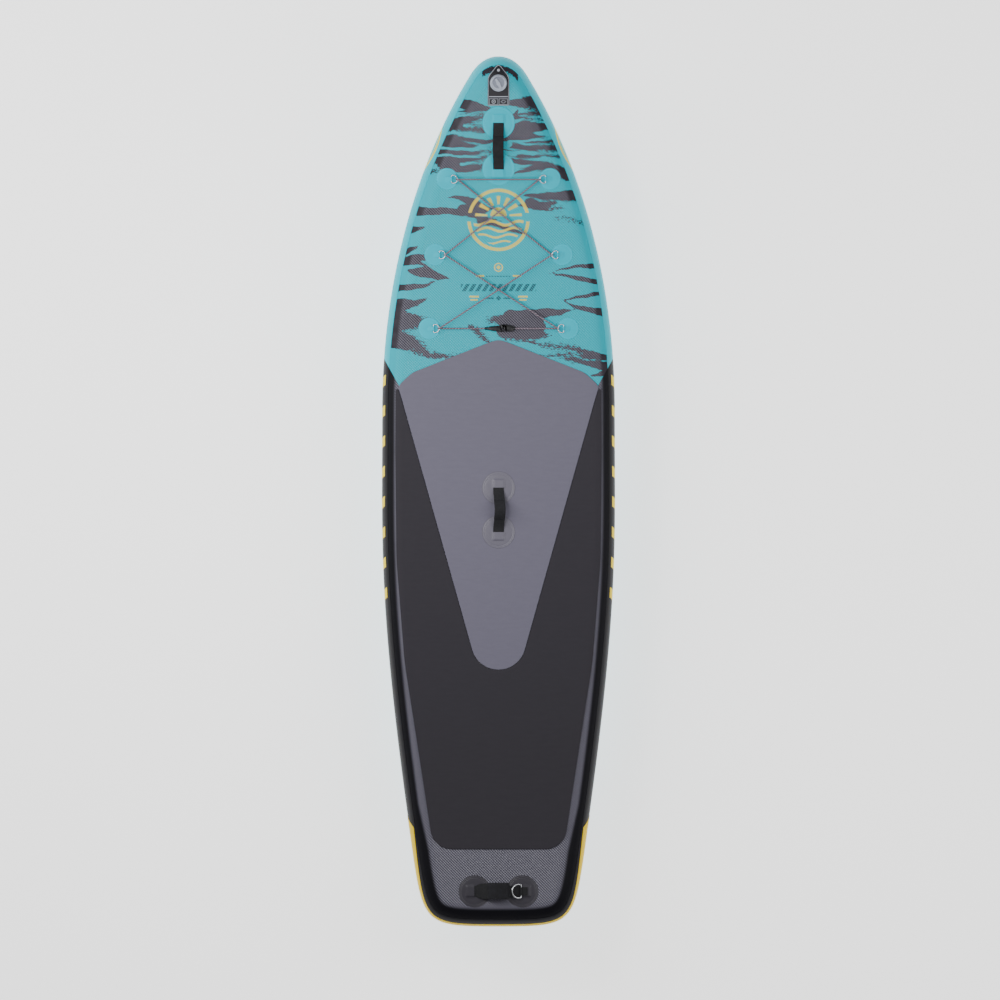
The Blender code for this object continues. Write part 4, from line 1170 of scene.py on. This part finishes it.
def welded_disc(name, x, s, radius, base, mat, node):
    """A round patch with its welded border of fine rings."""
    share, rise = np.array(DISC_PROFILE).T[:, :, None]
    turn = circle(96)
    px, ps = x + radius * share * np.cos(turn), s + radius * share * np.sin(turn)
    faces = grid_faces(*px.shape, wrap_cols=True)
    faces.append([(len(share) - 1) * 96 + k for k in range(96)])
    points = deck(px, ps, base + rise * PATCH)
    obj = face_up(mesh_object(name, points, faces, mat, 60))
    attribute(obj, "disc_radius", (share + 0 * turn).ravel())
    attribute(obj, "disc_turn", (np.abs(np.arange(96) / 48 - 1) + 0 * share).ravel())
    fit_out(obj, "hull", node, slot=mat)


def strap_plan(ends, lean):
    """Start, direction, cross direction, length and sideways bow of a strap."""
    a, b = np.array(ends)
    length = float(np.hypot(*(b - a)))
    run = (b - a) / length
    return a, run, np.array((run[1], -run[0])), length, lean


def follow(plan, stations, sections):
    """Deck points for cross sections (v, h) at stations u along a strap's plan."""
    a, run, across, length, lean = plan
    u = np.asarray(stations, float)[:, None]
    v = sections[..., 0] + lean * np.sin(math.pi * np.clip(u / length, 0, 1)) ** 2
    x, s = (a[k] + run[k] * u + across[k] * v for k in (0, 1))
    return deck(x, s, sections[..., 1])


def build_handle(name, ends, base, arch, slot, radius, grip_half, body, marks, lean=0.0):
    """Two welded patches and covers, a strap between them and its padded sleeve."""
    plan = strap_plan(ends, lean)
    a, run, across, length, _ = plan
    top = base + PATCH
    for mark, (x, s) in zip(marks, ends):
        node = f"{name}_patch_{mark}"
        welded_disc(node + "_pvc", x, s, radius, base, slot, node)

    def lift(u):
        return top + GAP + arch * np.sin(math.pi * np.clip(u, 0, length) / length) ** 2

    # The strap, in two halves that rise from the hull to the grip.
    for mark, span in zip(marks, ((-0.026, length / 2 + 0.002), (length / 2 - 0.002, length + 0.026))):
        u = np.linspace(*span, 90)
        sections = np.tile(rounded_section(STRAP_HALF, STRAP, 0.00085), (90, 1, 1))
        flare = np.interp(u / length, *STRAP_FLARE)
        sections[..., 0] *= 1 + (grip_half / STRAP_HALF - 1) * flare[:, None]
        sections[..., 1] += lift(u)[:, None]
        obj = loft(f"{name}_strap_{mark}", follow(plan, u, sections), "webbing_black", 45)
        woven(obj, u[:, None], sections[..., 0])
        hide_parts(f"{name}_strap")
        bends = {marks[0]: (0.0, 0.26), "right": (0.98, 0.6)}.get(mark, (1.0, 0.74))
        start, end = (
            follow(plan, [u0], np.array([[[0.0, lift(u0)]]]))[0, 0]
            for u0 in (length * bends[0], length * bends[1])
        )
        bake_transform(obj)

    # Padded sleeve over the middle of the strap.
    u = np.linspace(0.27, 0.73, 60) * length
    t = np.abs(np.linspace(-1, 1, 60))
    swell = np.sqrt(np.clip(1 - t**7, 0, 1))
    ripple = 1 + 0.02 * np.sin(u * 260 + 0.6) + 0.014 * np.sin(u * 610)
    spread = np.clip(0.9 + 0.2 * (1 - t**4), 0, 1)
    wide = STRAP_HALF + 0.0006 + (grip_half - STRAP_HALF) * spread
    up, down = 0.0016 + 0.0034 * swell * ripple, 0.001 + 0.0014 * swell
    turn = circle(28)
    cx, cz = (np.sign(f) * np.abs(f) ** p for f, p in ((np.cos(turn), 0.42), (np.sin(turn), 0.62)))
    middle = lift(u) + STRAP / 2
    z = middle[:, None] + np.where(cz > 0, up[:, None], down[:, None]) * cz
    loops = follow(plan, u, np.stack((wide[:, None] * cx, z), -1))
    obj = loft(f"{name}_grip_sleeve", loops, "neoprene_black", 60)
    fit_out(obj, body, f"{name}_grip", slot="neoprene_black")
    seam_z = (middle + 0.00035 + up * 0.93)[4:-4]
    for letter, side in (("a", -1), ("b", 1)):
        sections = np.stack((side * (wide[4:-4] - 0.004), seam_z), -1)[:, None]
        dashes(f"{name}_grip_stitch_{letter}", follow(plan, u[4:-4], sections)[:, 0], body)

    # Cover plates welded over the strap's two ends.
    f, g = np.array(COVER_ALONG).T[:, :, None]
    v, gv = np.array(COVER_ACROSS).T
    v, gv = np.concatenate((v, 1 - v[-2::-1])), np.concatenate((gv, gv[-2::-1]))
    h = top + 0.0004 + 0.0034 * g * gv
    for mark, inner, outer in ((marks[0], -0.001, -0.034), (marks[1], length + 0.001, length + 0.034)):
        u = inner + (outer - inner) * f
        x, s = (a[k] + run[k] * u + across[k] * (v - 0.5) * 0.051 for k in (0, 1))
        obj = draped(f"{name}_cover_{mark}_pvc", x, s, h, slot, top + 0.0001, 50)
        fit_out(obj, "hull", f"{name}_cover_{mark}", slot=slot)


def dashes(name, path, body, radius=0.00042, pitch=0.003):
    """A row of stitches along a path, sunk a little into the cloth."""
    path = resampled(path, pitch)
    turn = circle(6)[:, None]
    points, faces = [], []
    for k, (a, run) in enumerate(zip(path, np.diff(path, axis=0))):
        t = run / np.linalg.norm(run)
        side = np.cross(t, (0, 0, 1.0))
        side /= np.linalg.norm(side)
        spoke = radius * (side * np.cos(turn) + np.cross(side, t) * np.sin(turn))
        for f, r in ((0.0, 0.35), (0.18, 0.9), (0.5, 1.0), (0.82, 0.9), (1.0, 0.35)):
            points.extend(a + run * (0.14 + 0.72 * f) + r * spoke)
        faces += [[30 * k + p for p in face] for face in grid_faces(5, 6, wrap_cols=True, caps=True)]
    obj = mesh_object(name, points, faces, "stitch", 60)
    fit_out(obj, body, slot="webbing_black")


# ------------------------------------------------------------ rings and bungee

D_WIRE = 0.002
D_RADIUS = 0.015
D_CHORD = math.radians(57)
D_LIFT = math.radians(20)
CORD_R = 0.00275
CARGO = {"front": (0.446, 0.189), "mid": (0.7237, 0.234), "rear": (0.9954, 0.256)}

# The cord's way round the rings, and the level it comes in and leaves at: 1 above, -1 below.
CORD_ORDER = (("rear", "left", -1, 1), ("mid", "right", 1, -1), ("front", "left", -1, 1))
CORD_ORDER += (("front", "right", 1, -1), ("mid", "left", -1, 1), ("rear", "right", 1, -1))

# Outlines of the hook and its eye, and how their edges round off, in tenths of a millimetre.
HOOK = ((-415, -35), (-300, -80), (20, -110), (140, -130), (230, -90), (262, 0), (240, 70), (200, 90))
HOOK += ((180, 60), (205, 0), (180, -50), (130, -66), (75, -40), (55, 20), (50, 100), (-300, 80))
HOOK += ((-415, 35),)
EYE = ((290, -120), (555, -100), (555, 100), (290, 150), (80, 145), (85, 10), (115, -20), (150, -10))
EYE += ((168, 30), (160, 100), (260, 106), (290, 70))
HOOK_EDGE = ((0, 16), (0.06, 8), (0.18, 2), (0.3, 0), (0.7, 0), (0.82, 2), (0.94, 8), (1, 16))


def d_ring(name, matrix, radius, chord, wire, body):
    """A bent wire D: straight bar along the matrix's Y, bow towards -X."""
    a = np.linspace(chord - math.pi, math.pi - chord, 90)
    bow = np.stack((-radius * (np.cos(a) + math.cos(chord)), radius * np.sin(a), 0 * a), -1)
    path = smoothed(resampled(bow, 0.0009, closed=True), True, 12)
    obj = tube(name + "_wire", put_at(matrix, path), wire, "ring_steel", True, 18, 80)
    fit_out(obj, body, name, slot="ring_steel")


def wrapped_tab(name, matrix, hole, half, low, mat, node):
    """Webbing or PVC wrapped round a bar along the matrix's Y, with its tail laid flat along X."""
    wall, tail = 0.0016, 0.023
    a = np.radians(-60 - np.linspace(0, 300, 34))
    bar = np.stack((np.cos(a), np.sin(a)), -1)
    end = [(hole + 0.004, low + 0.002), (tail - 0.001, low + 0.0014), (tail, low + 0.0008)]
    end += [(tail, low), (hole + 0.0009, low)]
    outline = np.vstack(((hole + wall) * bar, end, hole * bar[::-1]))
    x, z = outline.T
    loops = [
        put_at(matrix, np.stack((x, y + 0 * x, z), -1))
        for y in (-half, -half + 0.0003, half - 0.0003, half)
    ]
    obj = loft(name, loops, mat, 50)
    woven(obj, lengths(outline)[None], np.array((-half, -half, half, half))[:, None])
    fit_out(obj, "hull", node, slot=mat)


def build_cargo():
    """Patches, tabs and rings. Returns each ring's inner tip and frame."""
    tips, frames = {}, {}
    for place, (s, x) in CARGO.items():
        for side, word in ((-1, "left"), (1, "right")):
            tag = f"cargo_{place}_{word}"
            welded_disc(tag + "_patch_pvc", side * x, s, 0.0395, DECK_GAP, "patch_teal", tag + "_patch")
            flat = deck_frame(side * (x - 0.016), s, DECK_GAP + PATCH + GAP + 0.004)
            if side < 0:
                flat = flat @ Matrix.Rotation(math.pi, 4, "Z")
            tilted = flat @ Matrix.Rotation(D_LIFT, 4, "Y")
            d_ring(tag + "_ring", tilted, D_RADIUS, D_CHORD, D_WIRE, f"cargo_ring_{place}_{word}")
            wrapped_tab(tag + "_loop_pvc", flat, 0.0024, 0.0085, -0.004, "patch_teal", tag + "_loop")
            tips[place, word] = tilted @ Vector((-D_RADIUS * (1 + math.cos(D_CHORD)), 0, 0))
            frames[place, word] = flat
    return tips, frames


def build_bungee(tips, frames):
    """The elastic cord in six lengths that meet over the centreline, one for each ring."""
    reach = D_WIRE + CORD_R + 0.0001
    hook = deck_frame(0, CARGO["rear"][0], DECK_GAP)
    stops = [hook @ Vector((-0.0425, 0, 0.0065))]
    for one, two in zip(CORD_ORDER, CORD_ORDER[1:]):
        lift = one[3] * reach
        if one[0] != two[0]:
            lift += 0.0036 if one[1] == "right" else -0.0036
        middle = (tips[one[:2]] + tips[two[:2]]) / 2
        stops.append(middle + frames[two[:2]].col[2].xyz * lift)
    stops.append(hook @ Vector((0.0565, 0, 0.0065)))
    for (place, word, first, last), before, after in zip(CORD_ORDER, stops, stops[1:]):
        flat, tip = frames[place, word], tips[place, word]
        up, out = flat.col[2].xyz * reach, flat.col[0].xyz * reach
        one = tip + up * first + (before - tip).normalized() * 0.01
        two = tip + up * last + (after - tip).normalized() * 0.01
        half_turn = np.linspace(0, math.pi, 13) if first != last else [0.0]
        turn = [tip + up * (first * math.cos(a)) + out * math.sin(a) for a in half_turn]
        path = [before.lerp(one, f / 5) for f in range(6)] + turn
        path += [two.lerp(after, f / 5) for f in range(6)]
        path = smoothed(resampled([tuple(p) for p in path], 0.0016), False, 5)
        obj = tube(f"bungee_{place}_{word}", path, CORD_R, "cord_grey", False, 12, 70)
        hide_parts("bungee_cord")
        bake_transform(obj)
    build_hook(hook)


def build_hook(matrix):
    """Moulded hook and eye that join the cord's two ends, each with a ribbed ferrule."""
    for name, outline, low, high in (("bungee_hook", HOOK, 1.0, 11.5), ("bungee_eye", EYE, 1.6, 10.9)):
        run = smoothed(resampled(np.array(outline) / 1e4, 0.0011, closed=True), True, 3)
        ahead = np.roll(run, -1, 0) - np.roll(run, 1, 0)
        inward = (ahead / np.hypot(*ahead.T)[:, None])[:, ::-1] * (-1, 1)
        loops = []
        for f, shrink in HOOK_EDGE:
            x, y = (run + shrink / 1e4 * inward).T
            z = (low + (high - low) * f) / 1000 + 0 * x
            loops.append(put_at(matrix, np.stack((x, y, z), -1)))
        obj = loft(name + "_moulding", loops, "hook_plastic", 50)
        fit_out(obj, "hull", name, slot="hook_plastic")
    for letter, x0, x1 in (("a", -0.05, -0.03), ("b", 0.044, 0.062)):
        f = np.linspace(0, 1, 25)
        radius = 0.0046 + 0.0008 * np.abs(np.sin(f * math.pi * 4))
        radius[[0, -1]] = 0.0034
        path = put_at(matrix, np.stack((x0 + (x1 - x0) * f, 0 * f, 0.0065 + 0 * f), -1))
        obj = tube(f"cord_ferrule_{letter}", path, radius, "hook_plastic", False, 20, 40)
        fit_out(obj, "hull", slot="hook_plastic")


def build_leash_ring():
    matrix = deck_frame(0.0838, 3.069, DECK_GAP + PATCH + GAP + STRAP + GAP + 0.0052)
    wrapped_tab("leash_ring_loop_web", matrix, 0.0028, 0.015, -0.0022, "webbing_black", "leash_ring_loop")
    tilted = matrix @ Matrix.Rotation(math.radians(24), 4, "Y")
    d_ring("leash_d_ring", tilted, 0.025, math.radians(62), 0.0024, "leash_ring")


# ------------------------------------------------------------ label and valve

# Turned profiles (radius, height) in tenths of a millimetre.
VALVE_BODY = ((125, -240), (125, 0), (310, 0), (318, 12), (310, 24), (255, 26), (255, 130), (215, 130))
VALVE_BODY += ((215, 30), (62, 30), (62, -100), (105, -100), (105, -240), (125, -240))
VALVE_CAP = ((0, 140), (256, 140), (256, 29), (288, 29), (290, 150), (280, 168), (262, 172), (250, 168))
VALVE_CAP += ((238, 152), (222, 148), (120, 151), (0, 152))
VALVE_PIN = ((0, -160), (95, -160), (95, -104), (30, -104), (30, 70), (55, 80), (55, 134), (0, 134))
CAP_LEVER = ((42, -215), (52, -60), (78, 0), (52, 60), (42, 215))


def build_label():
    corners = ((0.0, 0.036), (0.009, 0.04), (0.0335, 0.067), (0.0395, 0.08), (0.04, 0.174))
    corners += ((0.04, 0.179), (0.0, 0.179))
    side = evenly(rounded(corners, (0, 0.01, 0.02, 0.01, 0, 0.0049), 6), 90)
    outer = np.concatenate((side, side[-2:0:-1] * (-1, 1)))
    valve = np.array((0.0, VALVE_S))
    away = outer - valve
    rim = valve + 0.0136 * away / np.hypot(*away.T)[:, None]
    fractions = np.concatenate(((1, 0.995, 0.97, 0.94), np.arange(9, -1, -1) / 10))
    plan = rim + (outer - rim) * fractions[:, None, None]
    x, s = plan[..., 0], plan[..., 1]
    h = PAD_LOW + 0.0006 + 0 * x
    h[0] = DECK_GAP * 0.4
    faces = grid_faces(*x.shape, wrap_cols=True)
    obj = face_up(mesh_object("nose_label_film", deck(x, s, h), faces, "label_black", 50))
    gap = np.linalg.norm(outer - plan[:, :, None], axis=-1)
    attribute(obj, "edge_distance", gap.min(-1).ravel())
    fit_out(obj, "hull", "nose_label_patch", slot="label_black")


def arc_profile(points, radius, steps=3):
    """A profile in tenths of a millimetre, in metres and with its corners rounded."""
    points = [Vector((x / 1e4, y / 1e4, 0)) for x, y in points]
    out = [points[0]]
    for a, b, c in zip(points, points[1:], points[2:]):
        r = min(radius, (a - b).length * 0.45, (c - b).length * 0.45)
        p, q = b + (a - b).normalized() * r, b + (c - b).normalized() * r
        for f in (k / steps for k in range(steps + 1)):
            out.append((1 - f) ** 2 * p + 2 * f * (1 - f) * b + f * f * q)
    return [tuple(p)[:2] for p in (*out, points[-1])]


def mirrored(half):
    """A bar's section, from its left half in tenths of a millimetre."""
    half = np.array(half) / 1e4
    return np.vstack((half, half[::-1] * (-1, 1)))


def build_valve():
    matrix = deck_frame(0, VALVE_S, 0.0022)
    obj = revolve("valve_body_moulding", arc_profile(VALVE_BODY, 0.0005), matrix, "valve_grey")
    fit_out(obj, "hull", "valve_body", slot="valve_grey")
    obj = revolve("valve_cap_moulding", arc_profile(VALVE_CAP, 0.0006), matrix, "valve_cap", 40)
    fit_out(obj, "valve_cap", "valve_cap", slot="valve_silver")
    slant = matrix @ Matrix.Rotation(math.radians(28), 4, "Z")
    lever = mirrored(CAP_LEVER)
    prism("valve_cap_lever", lever, slant, (0.0146, 0.018), "valve_silver", "valve_cap", 0.0011, 3)
    rib = np.array(((286, -12), (295, -8), (295, 8), (286, 12))) / 1e4
    for k in range(20):
        turn = matrix @ Matrix.Rotation(2 * math.pi * k / 20, 4, "Z")
        prism(f"valve_cap_grip_{k:02d}", rib, turn, (0.0046, 0.014), "valve_silver", "valve_cap", 0.0003)
    pin = arc_profile(VALVE_PIN, 0.0005)
    obj = revolve("valve_pin_moulding", pin, matrix, "valve_pin_plastic", steps=48)
    fit_out(obj, "valve_pin", "valve_pin", slot="valve_pin_plastic")


# ------------------------------------------------------------ fins

FIN_S = 2.84

# Left halves of the fin box's and the fin foot's sections, and the clip's side, in tenths of a millimetre.
FIN_BOX = ((-300, 4), (-300, 22), (-130, 30), (-130, 160), (-45, 160), (-45, 120), (-80, 120), (-80, 40))
FIN_TONGUE = ((-77, 43), (-77, 117), (-41, 117), (-41, 163), (-120, 163), (-120, 195))
FIN_CLIP = ((-865, 50), (-865, 110), (-960, 130), (-1120, 205), (-1180, 205), (-1180, 170), (-1040, 90))
FIN_CLIP += ((-990, 50),)

# A side fin's foot: height and share of its full size.
SIDE_FIN_FOOT = ((0.0004, 1), (0.0012, 1), (0.0019, 0.985), (0.0022, 0.96), (0.0026, 0.6), (0.0034, 0.35))


def blade(matrix, top, chord, depth, tip, rake, thick, forward):
    """Foil sections of a raked blade with a rounded tip, from its root down."""
    turn = circle(40)
    back = (1 - np.cos(turn)) / 2
    half = np.sign(np.sin(turn)) * np.minimum(1.05 * np.sqrt(back) * (1 - back) ** 0.85, 0.5)
    loops = []
    for g in 1 - (1 - np.linspace(0, 1, 40)) ** 1.6:
        c = chord + (tip - chord) * ((1 - math.sqrt(1 - g * g * 0.96)) * 0.75 + g * 0.25)
        lead = forward + chord / 2 - rake * g**1.6 - (chord - c) * 0.25
        close = math.sqrt(max(0.0, 1 - ((g - 0.9) / 0.1) ** 2)) if g > 0.9 else 1.0
        shrink = 1 - 0.16 * (1 - close)
        x = thick * (1 - 0.62 * g) * max(close, 0.08) * half
        y = lead - c * (1 - shrink) * 0.35 - c * shrink * back
        loops.append(put_at(matrix, np.stack((x, y, top + depth * g + 0 * x), -1)))
    return loops


def build_fins():
    bed = deck_frame(0, FIN_S, 0.0, side=-1)
    black = "fin_black"
    prism("fin_box_moulding", mirrored(FIN_BOX), bed, (-0.125, 0.125), black, "hull", 0.0006,
          nodes=("fin_box",), axes="xzy")
    for k, y in enumerate(np.linspace(-0.11, 0.11, 12)):
        for letter, side in (("a", -1), ("b", 1)):
            near, far = side * 0.0131, side * 0.0285
            rib = ((near, y - 0.0012), (far, y - 0.0012), (far, y + 0.0012), (near, y + 0.0012))
            prism(f"fin_box_rib_{k:02d}{letter}", rib, bed, (0.002, 0.0044), black, "hull", 0.0005)
    fin = loft("centre_fin_blade", blade(bed, 0.019, 0.2, 0.19, 0.052, 0.105, 0.0085, 0.015), black, 60)
    fit_out(fin, "centre_fin", "centre_fin", slot=black)
    tongue = mirrored(FIN_TONGUE)
    prism("centre_fin_tongue", tongue, bed, (-0.085, 0.115), black, "centre_fin", 0.0006, axes="xzy")
    clip = np.array(FIN_CLIP) / 1e4
    prism("fin_clip_moulding", clip, bed, (-0.0038, 0.0038), "clip_grey", "fin_clip", 0.0007, 3,
          nodes=("fin_clip",), axes="yzx")
    turn = circle(40)
    for name, sign in (("side_fin_left", -1), ("side_fin_right", 1)):
        bed = deck_frame(sign * 0.165, 2.7, 0.0, side=-1)
        loops = []
        for z, grow in SIDE_FIN_FOOT:
            x, y = 0.021 * grow * np.sin(turn), (0.06 + 0.02 * grow) * np.cos(turn)
            loops.append(put_at(bed, np.stack((x, y, z + 0 * x), -1)))
        loops += blade(bed, 0.004, 0.12, 0.095, 0.03, 0.055, 0.006, 0.0)
        fit_out(loft(name + "_moulding", loops, black, 60), "hull", name, slot=black)


def dress_hidden():
    """Pieces sealed inside the hull keep their CAD shape."""
    for node, mat in (("drop_stitch_core", "core_cloth"), ("valve_back_nut", "valve_grey")):
        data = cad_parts[node].data
        data.materials.clear()
        data.materials.append(M[mat])


# ------------------------------------------------------------ the set


def area_light(name, place, aim, size, power):
    data = bpy.data.lights.new(name, "AREA")
    data.shape = "RECTANGLE"
    data.size, data.size_y = size
    data.energy = power
    obj = bpy.data.objects.new(name, data)
    obj.location = place
    obj.rotation_euler = (Vector(aim) - Vector(place)).to_track_quat("-Z", "Y").to_euler()
    bpy.context.scene.collection.objects.link(obj)


def build_set():
    """A pale floor, three softboxes and a camera high above the deck."""
    scene = bpy.context.scene
    z, r = CAD_BOX[0][2] - 0.012, 30.0
    mesh = bpy.data.meshes.new("studio_floor")
    mesh.from_pydata([(-r, -r, z), (r, -r, z), (r, r, z), (-r, r, z)], [], [(0, 1, 2, 3)])
    floor = bpy.data.objects.new("studio_floor", mesh)
    scene.collection.objects.link(floor)
    pale = material("studio_white", (0.92, 0.92, 0.92), 0.9, Specular_IOR_Level=0.0,
                    Emission_Color=(1, 1, 1, 1), Emission_Strength=1.5)
    mesh.materials.append(pale)
    world = bpy.data.worlds.new("studio_world")
    world.use_nodes = True
    sky = world.node_tree.nodes["Background"].inputs
    sky[0].default_value = (1, 1, 1, 1)
    sky[1].default_value = 0.26
    scene.world = world
    area_light("softbox_left", (-3.6, 1.6, 3.4), (0, 0.5, 0.1), (2.0, 4.5), 165)
    area_light("softbox_right", (3.4, 0.3, 4.2), (0, 0.1, 0.1), (1.8, 4.5), 100)
    area_light("softbox_nose", (-0.75, 0.25, 2.3), (-0.12, 1.15, 0.2), (0.6, 0.6), 15)
    view = bpy.data.cameras.new("overhead")
    view.lens = 291.5
    view.sensor_width = 36
    view.clip_end = 100
    camera = bpy.data.objects.new("overhead", view)
    camera.location = (0.0055, -0.0276, 30.0)
    scene.collection.objects.link(camera)
    scene.camera = camera


def main():
    dress_hidden()
    build_skins()
    build_rails()
    build_tail_band()
    build_kite_pad()
    build_main_pad()
    build_label()
    build_valve()
    on_pad = PAD_LOW + PAD_THICK + GAP
    fore_aft = ("fore", "aft")
    build_handle("front_handle", ((0, 0.2415), (0, 0.41)), DECK_GAP, 0.03, "patch_teal",
                 0.06, 0.0197, "front_grip", fore_aft, -0.0015)
    build_handle("centre_handle", ((0, 1.583), (0, 1.745)), on_pad, 0.034, "patch_grey",
                 0.061, 0.0197, "centre_grip", fore_aft, 0.006)
    build_handle("tail_handle", ((-0.088, 3.069), (0.088, 3.069)), DECK_GAP, 0.03, "patch_dark",
                 0.059, 0.03, "tail_grip", ("left", "right"))
    build_bungee(*build_cargo())
    build_leash_ring()
    build_fins()
    build_set()


main()
